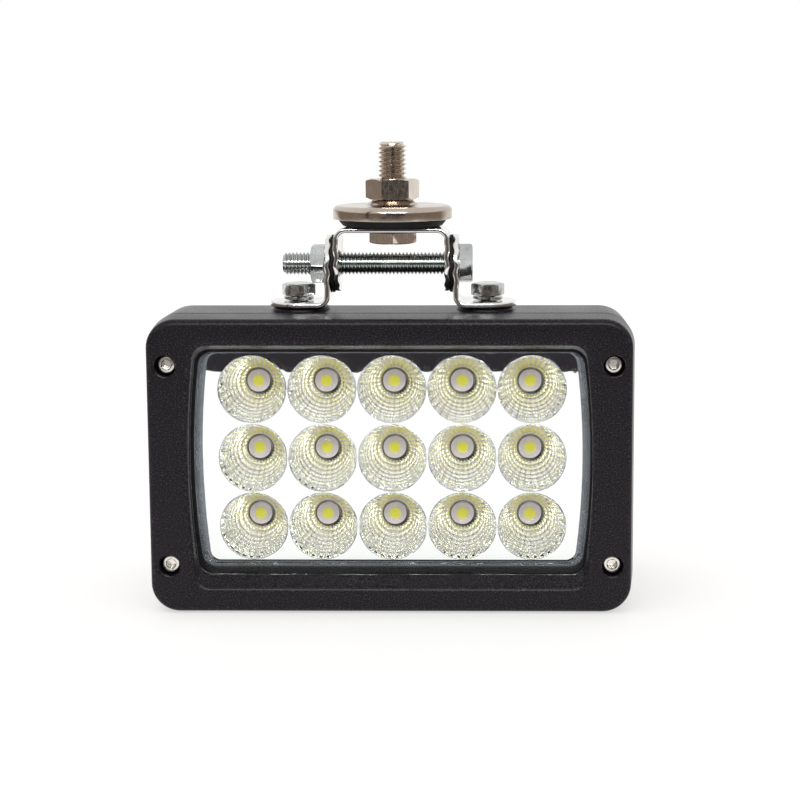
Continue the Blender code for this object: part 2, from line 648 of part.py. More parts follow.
def hex_nut(name, base, turn, across_flats, height, bore_r, finish, parent=None):
    place = Matrix.Translation(base) @ turn
    nut = hex_prism(name, across_flats, height, place, chamfer_bottom=True)
    drill(nut, f"{name}_bore", bore_r, height + 4, [base + turn @ Vector((0, 0, -2))], turn)
    nut.data.materials.append(finish)
    adopt(nut, parent)


def adopt(obj, parent):
    if parent:
        obj.parent = parent
        obj.matrix_parent_inverse = Matrix.Translation(-parent.location)


def build_cross_bolt():
    face = FOOT_INNER + FOOT_THICK + EASE
    hex_bolt("tilt_bolt", Vector((face, BRACKET_Y, TILT_Z)), RIGHTWARD, M8_FLATS, M8_HEAD_H, M8_R,
             face + TILT_BOLT_END, ZINC)
    hex_nut("tilt_nut", Vector((-face, BRACKET_Y, TILT_Z)), LEFTWARD, M8_FLATS, M8_NUT_H, M8_R + EASE, ZINC)


def build_swivel_bracket():
    upright = EAR_OUTER - EAR_THICK / 2
    top = U_TOP_Z - EAR_THICK / 2
    path = [(upright, TILT_Z - EAR_R)] + bend(upright - BEND_R, top - BEND_R, BEND_R, 0, 90)
    path += [(-x, z) for x, z in reversed(path)]
    mesh = strip_mesh("swivel_bracket", path, STRIP_HALF_W, EAR_THICK, EAR_R)
    bracket = as_object("swivel_bracket", mesh, CHROME, parent=TILT_AXIS)
    drill(bracket, "ear_ways", M8_R + 0.35, 50.0, [Vector((-25, BRACKET_Y, TILT_Z))], RIGHTWARD)
    drill(bracket, "stud_way", M10_R + 0.4, 8.0, [Vector((0, BRACKET_Y, U_TOP_Z - 5))], UP)

    washer_in, washer_out = EAR_OUTER + EASE, FOOT_INNER - EASE
    inner, outer = M8_R + 0.45, STRIP_HALF_W - 0.2
    profile = [(inner, washer_in), (outer, washer_in), (outer, washer_out), (inner, washer_out)]
    mesh = turned_mesh("toothed_washer", profile, 30)
    for name, turn in (("right", RIGHTWARD), ("left", LEFTWARD)):
        place = Matrix.Translation((0, BRACKET_Y, TILT_Z)) @ turn
        as_object(f"toothed_washer_{name}", mesh, BLACK_RUBBER, place, TILT_AXIS)


def build_mount():
    on_axis = Matrix.Translation((0, BRACKET_Y, 0))
    head_top = U_TOP_Z - EAR_THICK - EASE
    hex_bolt("mount_stud", Vector((0, BRACKET_Y, head_top)), DOWN, M10_FLATS, M10_HEAD_H, M10_R,
             STUD_TOP - head_top, STEEL, SWIVEL_AXIS)

    bore, pad_r = M10_R + 0.5, 18.5
    pad = [(bore, PAD_BOTTOM), (pad_r - 1.3, PAD_BOTTOM), (pad_r, PAD_BOTTOM + 2.0), (pad_r, PAD_TOP),
           (bore, PAD_TOP)]
    turned("mount_pad", pad, BLACK_RUBBER, on_axis, SWIVEL_AXIS, 32)

    cone_top, cone_top_r, cone_base_r, roll = NUT_BOTTOM - EASE, 7.2, 9.0, 1.3
    rim_inner = CUP_WASHER_R - roll
    cup = [(bore, cone_top), (cone_top_r, cone_top), (cone_base_r, CUP_WASHER_TOP)]
    for angle in (90, 60, 30, 0):
        turn = math.radians(angle)
        cup.append((CUP_WASHER_R - roll * (1 - math.cos(turn)), CUP_WASHER_TOP - roll * (1 - math.sin(turn))))
    cup += [(CUP_WASHER_R, CUP_WASHER_RIM + 0.4), (CUP_WASHER_R - 0.4, CUP_WASHER_RIM),
            (rim_inner, CUP_WASHER_RIM), (rim_inner, PAD_TOP + EASE), (bore, PAD_TOP + EASE)]
    turned("cup_washer", cup, STEEL, on_axis, SWIVEL_AXIS, 32)

    hex_nut("mount_nut", Vector((0, BRACKET_Y, NUT_BOTTOM)), FLAT_FORWARD, M10_FLATS, NUT_TOP - NUT_BOTTOM,
            M10_R + GAP, STEEL, NUT_AXIS)


SWIVEL_AXIS.parent = TILT_AXIS
SWIVEL_AXIS.matrix_parent_inverse = Matrix.Translation(-TILT_AXIS.location)
NUT_AXIS.parent = SWIVEL_AXIS
NUT_AXIS.matrix_parent_inverse = Matrix.Translation(-SWIVEL_AXIS.location)

build_bezel()
build_bezel_screws()
build_lens_and_seals()
build_reflector()
build_leds()
build_boards()
build_housing()
build_gland_and_vent()
build_feet()
build_cross_bolt()
build_swivel_bracket()
build_mount()
bpy.context.view_layer.update()
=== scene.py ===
"""Looks of the fifteen-LED fog light: fine visible pieces, materials, light and camera.

Lengths are millimetres while a mesh is drawn and metres once it is an object. Places come from the
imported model's boxes. A "depth" is measured backwards (+Y) from the bezel's flat face.
"""

import math

import bmesh
import bpy
from mathutils import Matrix, Vector


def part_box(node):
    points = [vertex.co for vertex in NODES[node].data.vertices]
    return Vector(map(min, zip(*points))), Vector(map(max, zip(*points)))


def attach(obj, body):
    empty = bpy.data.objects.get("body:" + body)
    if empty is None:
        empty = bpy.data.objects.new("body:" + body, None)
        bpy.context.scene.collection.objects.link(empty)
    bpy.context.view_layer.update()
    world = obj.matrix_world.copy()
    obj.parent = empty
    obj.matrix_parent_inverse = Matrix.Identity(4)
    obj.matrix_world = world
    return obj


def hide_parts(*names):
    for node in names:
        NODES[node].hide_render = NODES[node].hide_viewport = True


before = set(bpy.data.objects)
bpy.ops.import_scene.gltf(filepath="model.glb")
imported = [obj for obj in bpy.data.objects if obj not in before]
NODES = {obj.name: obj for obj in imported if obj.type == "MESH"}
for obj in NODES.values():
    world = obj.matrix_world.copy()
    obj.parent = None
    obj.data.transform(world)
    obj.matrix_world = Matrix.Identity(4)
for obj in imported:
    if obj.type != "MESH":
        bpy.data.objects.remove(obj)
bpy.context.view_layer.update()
MM = 0.001


# --- driving dimensions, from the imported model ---

def box_mm(node):
    low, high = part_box(node)
    return low / MM, high / MM


def size_mm(node):
    low, high = box_mm(node)
    return high - low


def middle_mm(node):
    low, high = box_mm(node)
    return (low + high) / 2


FACE_Y = box_mm("front_bezel")[0].y
SEAM = size_mm("front_bezel").y
BODY = size_mm("front_bezel")  # width and height at the seam
MID_Z = middle_mm("lens").z
LENS = size_mm("lens")
LENS_FRONT = box_mm("lens")[0].y - FACE_Y
TILT = middle_mm("toothed_washer_left")  # its Y and Z lie on the cross bolt's axis
AXIS_Y, TILT_Z = TILT.y, TILT.z

# Window of the bezel: half width, half height, corner radius
BOW = 2.0  # how far the upright sides bulge
LENS_POCKET = (LENS.x / 2 + 0.3, LENS.z / 2 + 0.3, 6.0)
FLAT_EDGE = (LENS_POCKET[0] + 0.2, LENS_POCKET[1] + 1.3, 6.8)
LIP = (LENS_POCKET[0] - 1.4, LENS_POCKET[1] - 2.6, 5.2)
LIP_FRONT, LIP_BACK = LENS_FRONT - 1.1, LENS_FRONT - 0.3
BEZEL_FACE = (BODY.x / 2 - 1.6, BODY.z / 2 - 0.4, 9.5)
BEZEL_BACK = (BODY.x / 2, BODY.z / 2, 10.5)

# Reflector
RIM_EDGE = (LENS_POCKET[0] - 1.9, LENS_POCKET[1] - 4.2, 5.0)
PANEL = (LENS_POCKET[0] - 4.3, LENS_POCKET[1] - 5.35, 3.6)
PANEL_LIFT = 0.25  # the flare is wider under the cups than above them
REFLECTOR_FRONT = box_mm("reflector")[0].y - FACE_Y
PANEL_DEPTH = REFLECTOR_FRONT + 1.9
CUP_END = box_mm("reflector")[1].y - FACE_Y
CUP_RIM_R, CUP_FLOOR_R = 11.35, 4.3
CUP_FACETS, CUP_RINGS, FACET_CELLS = 28, 8, 3
COLUMN_CROWN, RING_CROWN = 0.26, 0.06  # how far a facet bulges along each direction
REFLECTOR_WALL = 0.3

# Housing and bracket
BOSS_BACK = 48.0  # flat boss that carries gland and vent
FOOT_BOLT_X = 32.2
PIVOT_R = 4.3  # hole for the cross bolt
STRIP_HALF, BEND_R = 10.0, 3.2  # pressed strip: half its width, and its bends
TEETH, TEETH_HEIGHT = 12, 0.22
EDGE_ROUND = 0.62  # how far the rolled strip's long edges are rounded
M8_FLATS, M10_FLATS = 12.3, 15.8  # as seen in the photo, a little under standard
SIDES = ((1, "right"), (-1, "left"))


# --- mesh tools ---

def at(x, depth, z):
    return Vector((x, FACE_Y + depth, z))


FORWARD = Matrix.Rotation(math.radians(90), 4, "X")  # turns +Z to -Y
BACKWARD = Matrix.Rotation(math.radians(-90), 4, "X")
RIGHTWARD = Matrix.Rotation(math.radians(90), 4, "Y")
LEFTWARD = Matrix.Rotation(math.radians(-90), 4, "Y")


def as_mesh(name, bm):
    mesh = bpy.data.meshes.new(name)
    bm.to_mesh(mesh)
    bm.free()
    return mesh


def add_object(name, data):
    obj = bpy.data.objects.new(name, data)
    bpy.context.scene.collection.objects.link(obj)
    return obj


def smooth(mesh, angle=35):
    """Smooth shading, with crisp edges where faces meet at more than the angle."""
    mesh.shade_smooth()
    mesh.set_sharp_from_angle(angle=math.radians(angle))


def as_object(name, bm, finish, smooth_angle=35, place=None):
    """A bmesh drawn in millimetres becomes an object in metres."""
    bmesh.ops.remove_doubles(bm, verts=bm.verts, dist=0.0005)
    bmesh.ops.recalc_face_normals(bm, faces=bm.faces)
    bm.transform(Matrix.Scale(MM, 4) @ (place or Matrix.Identity(4)))
    obj = add_object(name, as_mesh(name, bm))
    smooth(obj.data, smooth_angle)
    for entry in finish if isinstance(finish, (list, tuple)) else [finish]:
        obj.data.materials.append(entry)
    return obj


def apply_modifiers(obj, smooth_angle=None):
    """Bakes the modifiers into the mesh and removes them."""
    bpy.context.view_layer.update()
    evaluated = obj.evaluated_get(bpy.context.evaluated_depsgraph_get())
    mesh = bpy.data.meshes.new_from_object(evaluated)
    obj.modifiers.clear()
    obj.data = mesh
    if smooth_angle is not None:
        smooth(mesh, smooth_angle)


def boolean(obj, bm, operation="DIFFERENCE"):
    """Cuts or joins a bmesh drawn in millimetres, at once."""
    tool = as_object("tool", bm, [])
    step = obj.modifiers.new("cut", "BOOLEAN")
    step.operation = operation
    step.solver = "EXACT"
    step.object = tool
    apply_modifiers(obj)
    mesh = tool.data
    bpy.data.objects.remove(tool)
    bpy.data.meshes.remove(mesh)


def round_edges(obj, width, segments, angle):
    step = obj.modifiers.new("round", "BEVEL")
    step.width = width * MM
    step.segments = segments
    step.limit_method = "ANGLE"
    step.angle_limit = math.radians(angle)
    step.harden_normals = False
    apply_modifiers(obj, 35)


def loft(bm, rings, close_ends=True, close_round=False):
    """Joins closed sections of equal point count; close_round joins the last to the first."""
    loops = [[bm.verts.new(point) for point in ring] for ring in rings]
    pairs = list(zip(loops, loops[1:]))
    if close_round:
        pairs.append((loops[-1], loops[0]))
    for first, second in pairs:
        for i in range(len(first)):
            j = (i + 1) % len(first)
            bm.faces.new((first[i], first[j], second[j], second[i]))
    if close_ends and not close_round:
        bm.faces.new(loops[0])
        bm.faces.new(loops[-1])
    return loops


def lofted(rings, close_round=False):
    """A bmesh of its own from closed sections."""
    bm = bmesh.new()
    loft(bm, rings, close_round=close_round)
    return bm


def window_outline(half_w, half_h, radius, bow=0.0, corner_steps=12, side_steps=6):
    """(x, z) points of a round-cornered rectangle whose upright sides may bulge by bow."""
    lean = 2 * bow / (half_h - radius)
    side_end = half_h - radius * (1 - math.sin(lean))
    corner_x = half_w - bow - radius * math.cos(lean)
    quarter = []
    for i in range(side_steps):
        z = side_end * i / side_steps
        quarter.append((half_w - bow * (z / side_end) ** 2, z))
    for i in range(corner_steps + 1):
        angle = lean + (math.pi / 2 - lean) * i / corner_steps
        quarter.append((corner_x + radius * math.cos(angle), half_h - radius + radius * math.sin(angle)))
    top = quarter + [(-x, z) for x, z in reversed(quarter)]
    bottom = [(-x, -z) for x, z in quarter[1:]] + [(x, -z) for x, z in reversed(quarter[1:])]
    return top + bottom


def window_ring(depth, size, bow=0.0, inset=0.0):
    half_w, half_h, radius = size
    outline = window_outline(half_w - inset, half_h - inset, max(radius - inset, 0.8), bow)
    return [at(x, depth, MID_Z + z) for x, z in outline]


def polar(r, angle):
    return r * math.cos(angle), r * math.sin(angle)


def turned(profile, steps=48):
    """A bmesh turned about +Z from an (r, z) profile; one that leaves the axis makes a ring."""
    bm = bmesh.new()
    loops = []
    for r, z in profile:
        points = [polar(r, 2 * math.pi * i / steps) for i in range(steps)] if r > 0 else [(0, 0)]
        loops.append([bm.verts.new((x, y, z)) for x, y in points])
    pairs = list(zip(loops, loops[1:]))
    if profile[0][0] > 0:
        pairs.append((loops[-1], loops[0]))
    for first, second in pairs:
        for i in range(steps):
            j = (i + 1) % steps
            corners = [first[i % len(first)], first[j % len(first)],
                       second[j % len(second)], second[i % len(second)]]
            unique = list(dict.fromkeys(corners))
            if len(unique) > 2:
                bm.faces.new(unique)
    return bm


def arc(centre_r, centre_z, radius, start, end, steps=6):
    """(r, z) points of an arc; angles in degrees, anticlockwise from +r."""
    points = []
    for i in range(steps + 1):
        angle = math.radians(start + (end - start) * i / steps)
        points.append((centre_r + radius * math.cos(angle), centre_z + radius * math.sin(angle)))
    return points


def joined(*meshes):
    """Several bmeshes as one."""
    first = meshes[0]
    for other in meshes[1:]:
        temp = bpy.data.meshes.new("temp")
        other.to_mesh(temp)
        other.free()
        first.from_mesh(temp)
        bpy.data.meshes.remove(temp)
    return first


def moved(bm, place):
    bm.transform(place)
    return bm


def cylinder(radius, low, high, steps=48):
    return turned([(0, low), (radius, low), (radius, high), (0, high)], steps)


def shift(x, y, z):
    return Matrix.Translation((x, y, z))


def spin(degrees):
    return Matrix.Rotation(math.radians(degrees), 4, "Z")


def drill(obj, radius, low, high, place):
    boolean(obj, moved(cylinder(radius, low, high, 40), place))


def hexagon(across_flats, height, chamfer_bottom=True, hollow=0.0, hollow_chamfer=0.0):
    """A chamfered hexagon standing on Z = 0, flats at +-X and with a bore if hollow is given."""
    corner_r = across_flats / math.sqrt(3)
    outline = [polar(corner_r, math.radians(30 + 60 * i)) for i in range(6)]
    obj = as_object("hexagon", lofted([[Vector((x, y, z)) for x, y in outline] for z in (0, height)]), [])
    flat_r, drop = across_flats / 2 * 0.97, (corner_r - across_flats / 2) * 0.58
    wide = corner_r + 0.3
    slope = drop * (wide - flat_r) / (corner_r - flat_r)
    profile = [(0, 0), (flat_r, 0), (wide, slope)] if chamfer_bottom else [(0, -1), (wide, -1)]
    profile += [(wide, height - slope), (flat_r, height), (0, height)]
    boolean(obj, turned(profile, 72), "INTERSECT")
    if hollow:
        mouth_r = hollow + hollow_chamfer + 1
        bore = [(0, -1), (mouth_r, -1), (hollow, hollow_chamfer), (hollow, height - hollow_chamfer),
                (mouth_r, height + 1), (0, height + 1)]
        boolean(obj, turned(bore))
    return obj


def threaded_rod(radius, pitch, low, high, steps=40, lead_high=False):
    """A right-hand thread about +Z. Rows follow the helix, so crests and roots stay crisp."""
    depth = 0.56 * pitch
    stations = ((0.0, 0.0), (0.14, 0.0), (0.46, 1.0), (0.60, 1.0), (0.92, 0.0))
    end_r = radius - depth - 0.15
    bm = bmesh.new()
    rows = []
    for turn in range(-2, int((high - low) / pitch) + 3):
        for share, sunk in stations:
            row = []
            for i in range(steps):
                z = low + (turn + share + i / steps) * pitch
                r = min(radius - depth * sunk, end_r + max(0.0, z - low))
                if lead_high:
                    r = min(r, end_r + max(0.0, high - z))
                z = min(max(z, low), high)
                row.append(bm.verts.new((*polar(r, 2 * math.pi * i / steps), z)))
            rows.append(row)
    per_turn = len(stations)
    for k, row in enumerate(rows):
        for i in range(steps - 1):
            if k + 1 < len(rows):
                bm.faces.new((row[i], row[i + 1], rows[k + 1][i + 1], rows[k + 1][i]))
        if k + 1 + per_turn < len(rows):
            bm.faces.new((row[-1], rows[k + per_turn][0], rows[k + per_turn + 1][0], rows[k + 1][-1]))
    bmesh.ops.remove_doubles(bm, verts=bm.verts, dist=0.002)
    loose = [v for v in bm.verts if not v.link_faces]
    bmesh.ops.delete(bm, geom=loose, context="VERTS")
    bmesh.ops.dissolve_degenerate(bm, edges=bm.edges, dist=0.001)
    bmesh.ops.holes_fill(bm, edges=[e for e in bm.edges if e.is_boundary], sides=0)
    return bm


# --- materials ---

class Nodes:
    """Short calls for a node tree: that of a new material, given its name, or that of a world."""

    SOCKETS = {"colour": "Base Color", "rough": "Roughness", "normal": "Normal", "metal": "Metallic",
               "specular": "Specular IOR Level", "ior": "IOR", "glow": "Emission Color",
               "glow_strength": "Emission Strength"}

    def __init__(self, owner):
        self.owner = bpy.data.materials.new(owner) if isinstance(owner, str) else owner
        self.owner.use_nodes = True
        self.tree = self.owner.node_tree
        self.link = self.tree.links.new
        self.shader = self.tree.nodes.get("Principled BSDF")
        self.output = self.tree.nodes.get("Material Output")

    def feed(self, socket, value):
        """Gives a socket a link, a number, a vector or an (r, g, b) colour."""
        if isinstance(value, bpy.types.NodeSocket):
            self.link(value, socket)
        else:
            socket.default_value = (*value, 1.0) if socket.type == "RGBA" else value

    def add(self, kind, **values):
        """A node with values for its inputs and settings."""
        node = self.tree.nodes.new(kind)
        for key, value in values.items():
            if key in node.inputs:
                self.feed(node.inputs[key], value)
            else:
                setattr(node, key, value)
        return node

    def place(self, scale=(1, 1, 1)):
        """The object's own coordinates, in metres, stretched by scale."""
        coordinates = self.add("ShaderNodeTexCoord").outputs["Object"]
        return self.add("ShaderNodeMapping", Vector=coordinates, Scale=scale).outputs["Vector"]

    def noise(self, scale, detail=3.0, roughness=0.5, stretch=(1, 1, 1), distortion=0.0):
        return self.add("ShaderNodeTexNoise", Scale=scale, Detail=detail, Roughness=roughness,
                        Distortion=distortion, Vector=self.place(stretch)).outputs["Fac"]

    def ramp(self, value, stops):
        """A colour by value, from (position, colour) stops in rising order."""
        node = self.add("ShaderNodeValToRGB", Fac=value)
        elements = node.color_ramp.elements
        for element, (position, colour) in ((elements[0], stops[0]), (elements[1], stops[-1])):
            element.position = position
            element.color = (*colour, 1.0)
        for position, colour in stops[1:-1]:
            elements.new(position).color = (*colour, 1.0)
        return node.outputs["Color"]

    def span(self, value, low, high, from_low=0.3, from_high=0.7):
        limits = {"From Min": from_low, "From Max": from_high, "To Min": low, "To Max": high}
        return self.add("ShaderNodeMapRange", Value=value, **limits).outputs["Result"]

    def bump(self, height, strength, distance, after=None):
        node = self.add("ShaderNodeBump", Height=height, Strength=strength, Distance=distance)
        if after is not None:
            self.link(after, node.inputs["Normal"])
        return node.outputs["Normal"]

    def math(self, operation, *values):
        node = self.add("ShaderNodeMath", operation=operation)
        for socket, value in zip(node.inputs, values):
            self.feed(socket, value)
        return node.outputs[0]

    def mix(self, factor, *colours):
        node = self.add("ShaderNodeMix", data_type="RGBA", Factor=factor)
        for socket, colour in zip([i for i in node.inputs if i.type == "RGBA"], colours):
            self.feed(socket, colour)
        return [o for o in node.outputs if o.type == "RGBA"][0]

    def set(self, **values):
        for key, value in values.items():
            self.feed(self.shader.inputs[self.SOCKETS[key]], value)
        return self.owner


def powder_coat():
    """Satin black polyester powder: orange peel about a millimetre wide under a finer grit."""
    n = Nodes("black_powder_coat")
    peel = n.noise(820, 2.5, 0.55)
    grit = n.noise(2300, 3.0, 0.65)
    cloud = n.noise(60, 2.0)
    colour = n.ramp(grit, [(0.34, (0.0080, 0.0064, 0.0088)), (0.56, (0.0165, 0.0140, 0.0178)),
                           (0.68, (0.0750, 0.0700, 0.0780))])
    normal = n.bump(peel, 0.4, 0.00014)
    normal = n.bump(grit, 0.6, 0.00008, normal)
    rough = n.math("ADD", n.span(grit, 0.22, 0.34), n.span(cloud, -0.02, 0.03))
    return n.set(colour=colour, rough=rough, normal=normal, specular=0.5, ior=1.22)


def metal(name, dark, light, rough, grain=(1, 1, 1), grain_scale=1500, bump=0.10, mottle=70):
    """Bare or plated metal: a drifting tint, fine tool marks along one axis, faint handling marks."""
    n = Nodes(name)
    drift = n.noise(mottle, 3.0, 0.6)
    marks = n.noise(grain_scale, 3.0, 0.6, stretch=grain)
    smear = n.span(n.noise(320, 4.0, 0.7, distortion=0.6), -0.02, 0.05, 0.45, 0.75)
    shade = n.math("ADD", n.math("MULTIPLY", drift, 0.55), n.math("MULTIPLY", marks, 0.45))
    return n.set(colour=n.ramp(shade, [(0.36, dark), (0.64, light)]), metal=1.0,
                 rough=n.math("ADD", n.span(marks, rough * 0.75, rough * 1.3), smear),
                 normal=n.bump(marks, bump, 0.00003))


def mirror_coat():
    """Vacuum-metallised plastic: a slightly rippled mirror, with a painted reflection of the phosphor
    yellowing it deep in a cup.
    """
    n = Nodes("metallised_plastic")
    ripple = n.noise(130, 2.0)
    dust = n.noise(2400, 4.0, 0.7)
    place = n.add("ShaderNodeSeparateXYZ", Vector=n.add("ShaderNodeTexCoord").outputs["Object"])
    # Painted reflection: the coat's colour turns yellow towards the floor of each cup, where the mirror would
    # show the LED's yellow phosphor
    mouth, floor = (FACE_Y + PANEL_DEPTH) * MM, (FACE_Y + CUP_END) * MM
    depth = n.span(place.outputs["Y"], 0.0, 1.0, mouth, floor)
    depth = n.math("ADD", depth, n.span(n.noise(420, 3.0, 0.6), -0.12, 0.12))
    colour = n.ramp(depth, [(0.20, (0.995, 0.995, 0.995)), (0.70, (0.99, 0.99, 0.95)),
                            (1.0, (0.97, 0.965, 0.72))])
    return n.set(colour=colour, rough=n.span(dust, 0.010, 0.035, 0.5, 0.8), metal=1.0,
                 normal=n.bump(ripple, 0.35, 0.00006))


def bare(name):
    """The nodes of a new material whose own shader is taken out."""
    n = Nodes(name)
    n.tree.nodes.remove(n.shader)
    return n


def see_through(name, tint, gloss_rough, strength):
    """Clear pane or dome: light passes straight on, and the surface adds its Fresnel reflection."""
    n = bare(name)
    clear = n.add("ShaderNodeBsdfTransparent", Color=tint)
    smudge = n.span(n.noise(900, 3.0, 0.7), gloss_rough * 0.5, gloss_rough * 1.6)
    gloss = n.add("ShaderNodeBsdfGlossy", Roughness=smudge)
    fresnel = n.add("ShaderNodeFresnel", IOR=1.49).outputs["Fac"]
    mix = n.add("ShaderNodeMixShader", Fac=n.math("MULTIPLY", fresnel, strength))
    n.link(clear.outputs["BSDF"], mix.inputs[1])
    n.link(gloss.outputs["BSDF"], mix.inputs[2])
    n.link(mix.outputs["Shader"], n.output.inputs["Surface"])
    return n.owner


def rubber():
    n = Nodes("black_rubber")
    grain = n.noise(2600, 4.0, 0.7)
    colour = n.ramp(n.noise(140, 3.0), [(0.3, (0.006, 0.006, 0.007)), (0.7, (0.013, 0.012, 0.013))])
    return n.set(colour=colour, rough=n.span(grain, 0.55, 0.75), normal=n.bump(grain, 0.5, 0.00006),
                 specular=0.25)


def moulded(name, dark, light, rough, grain_scale=2000, bump=0.35, specular=0.5):
    """Moulded plastic or solder mask with a fine eroded texture."""
    n = Nodes(name)
    grain = n.noise(grain_scale, 3.0, 0.6)
    colour = n.ramp(n.noise(180, 3.0, 0.6), [(0.3, dark), (0.7, light)])
    return n.set(colour=colour, rough=n.span(grain, rough * 0.85, rough * 1.15),
                 normal=n.bump(grain, bump, 0.00005), specular=specular)


def phosphor():
    n = Nodes("led_phosphor")
    grain = n.noise(2600, 3.0, 0.6)
    colour = n.ramp(grain, [(0.3, (0.95, 0.90, 0.015)), (0.7, (1.0, 0.97, 0.06))])
    return n.set(colour=colour, rough=n.span(grain, 0.4, 0.6), normal=n.bump(grain, 0.2, 0.00003))


POWDER = powder_coat()
CHROME = metal("polished_plated_steel", (0.72, 0.71, 0.70), (0.88, 0.875, 0.87), 0.09, (1, 1, 6), 900, 0.06)
STAINLESS = metal("stainless_steel", (0.55, 0.485, 0.425), (0.74, 0.675, 0.605), 0.15, (1, 1, 0.15), 2600,
                  0.04)
# Spun stainless steel, darker and browner: partly the metal's tone, partly a painted reflection of the brown
# room
SPUN_STAINLESS_PAINTED_REFLECTION = metal("spun_stainless_steel", (0.40, 0.335, 0.285), (0.54, 0.475, 0.41), 0.15,
                       (0.3, 0.3, 6), 2200, 0.05)
ZINC = metal("zinc_plated_steel", (0.36, 0.38, 0.375), (0.58, 0.60, 0.59), 0.15, grain_scale=2400,
             bump=0.06, mottle=160)
BRIGHT_STEEL = metal("bright_stainless_steel", (0.70, 0.665, 0.615), (0.88, 0.85, 0.80), 0.20,
                     grain_scale=2400, bump=0.05)
MIRROR = mirror_coat()
# A darker grey copy of the mirror coat for the reflector's rim and flare: painted shade on the flare
SHADED_MIRROR_EDGE = metal("metallised_edge", (0.13, 0.14, 0.155), (0.22, 0.23, 0.26), 0.05, (0.2, 1, 1), 900, 0.05)
PANE = see_through("clear_glass", (0.985, 0.992, 0.99), 0.01, 0.4)
DOME = see_through("led_silicone_dome", (0.99, 0.985, 0.985), 0.06, 0.35)
RUBBER = rubber()
LED_BODY = moulded("led_body", (0.70, 0.63, 0.655), (0.80, 0.73, 0.755), 0.32, 1600, 0.12, 0.6)
PHOSPHOR = phosphor()
BOARD = moulded("white_circuit_board", (0.74, 0.75, 0.74), (0.82, 0.83, 0.82), 0.42)
DRIVER = moulded("green_circuit_board", (0.02, 0.13, 0.06), (0.04, 0.20, 0.09), 0.40)
PLASTIC = moulded("black_plastic", (0.016, 0.016, 0.017), (0.028, 0.028, 0.029), 0.45)


def finish_piece(obj, body, node):
    """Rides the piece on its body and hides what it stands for."""
    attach(obj, body)
    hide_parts(node)


def repaint(node, finish):
    """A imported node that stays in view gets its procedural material."""
    mesh = NODES[node].data
    mesh.materials.clear()
    mesh.materials.append(finish)


# --- bezel, pane and seals ---

BEZEL_SCREWS = [middle_mm(f"bezel_screw_{i}") for i in range(1, 5)]


def bezel():
    """A hollow frame: its section runs from the seam over the face, down the bevel and back."""
    edge_r, shoulder_r = 2.0, 2.1
    rings = [window_ring(SEAM, BEZEL_BACK, inset=0.45), window_ring(SEAM - 0.45, BEZEL_BACK)]
    for step in range(9):
        across, deep = polar(edge_r, math.radians(90 * step / 8))
        rings.append(window_ring(edge_r - deep, BEZEL_FACE, inset=edge_r - across))
    for step in range(6):
        deep, across = polar(shoulder_r, math.radians(15 * step))
        rings.append(window_ring(shoulder_r - deep, FLAT_EDGE, BOW, across))
    rings += [window_ring(LIP_FRONT + depth, LIP, BOW, inset)
              for depth, inset in ((-0.5, -0.30), (-0.1, -0.08), (0.15, 0.0))]
    rings += [window_ring(depth, size, BOW)
              for depth, size in ((LIP_BACK, LIP), (LIP_BACK, LENS_POCKET), (SEAM, LENS_POCKET))]
    obj = as_object("bezel_casting", lofted(rings, True), POWDER)
    head_floor = 6.9
    bore = [(0, 1.0), (4.8, 1.0), (4.0, 0.05), (3.77, -0.25), (3.7, -0.6), (3.7, -head_floor),
            (2.3, -head_floor), (2.3, -SEAM - 1), (0, -SEAM - 1)]
    for centre in BEZEL_SCREWS:
        boolean(obj, moved(turned(bore), shift(centre.x, FACE_Y, centre.z) @ FORWARD))
    smooth(obj.data)
    finish_piece(obj, "lamp", "front_bezel")


def bezel_screws():
    """Socket cap screws: knurled head, hexagon socket."""
    head_r, head_h, socket_flats, socket_deep = 3.0, 3.1, 3.0, 2.3
    knurls, knurl_depth = 30, 0.10
    corner = socket_flats / math.sqrt(3)
    # Radius, height and whether it is knurled, from under the head to its top
    head = [(head_r - 0.3, 0.0, 0), (head_r - 0.02, 0.25, 1), (head_r - 0.02, head_h - 0.62, 1),
            (head_r - 0.12, head_h - 0.42, 0), (2.62, head_h - 0.06, 0), (2.35, head_h, 0)]
    mouth = [(0, head_h - 0.32), (corner - 0.30, head_h - 0.32), (corner + 0.55, head_h + 0.4),
             (0, head_h + 0.4)]
    for number, centre in enumerate(BEZEL_SCREWS, 1):
        low, high = box_mm(f"bezel_screw_{number}")
        length = high.y - low.y - head_h
        rings = [[Vector((*polar(r - knurl_depth * (i % 2) * knurled, math.pi * i / knurls), z))
                  for i in range(knurls * 2)] for r, z, knurled in head]
        obj = as_object(f"socket_screw_{number}", lofted(rings), BRIGHT_STEEL)
        turn = math.radians(17 * number)
        socket = [[Vector((*polar(corner, turn + math.pi * i / 3), z)) for i in range(6)]
                  for z in (head_h - socket_deep, head_h + 1)]
        boolean(obj, lofted(socket))
        boolean(obj, turned(mouth))
        shank = joined(threaded_rod(1.95, 0.7, -length, -0.8, 24), cylinder(1.9, -1.2, 0.4, 24))
        shank_obj = as_object("shank", shank, BRIGHT_STEEL)
        bm = bmesh.new()
        bm.from_mesh(obj.data)
        bm.from_mesh(shank_obj.data)
        bm.transform(shift(centre.x * MM, (low.y + head_h) * MM, centre.z * MM) @ FORWARD)
        bm.to_mesh(obj.data)
        bm.free()
        bpy.data.objects.remove(shank_obj)
        smooth(obj.data, 32)
        finish_piece(obj, "lamp", f"bezel_screw_{number}")


def edge_levels(front, back, edge):
    """(depth, inset) of a plate's four rings, with its two rims bevelled by edge."""
    return [(front, edge), (front + edge, 0.0), (back - edge, 0.0), (back, edge)]


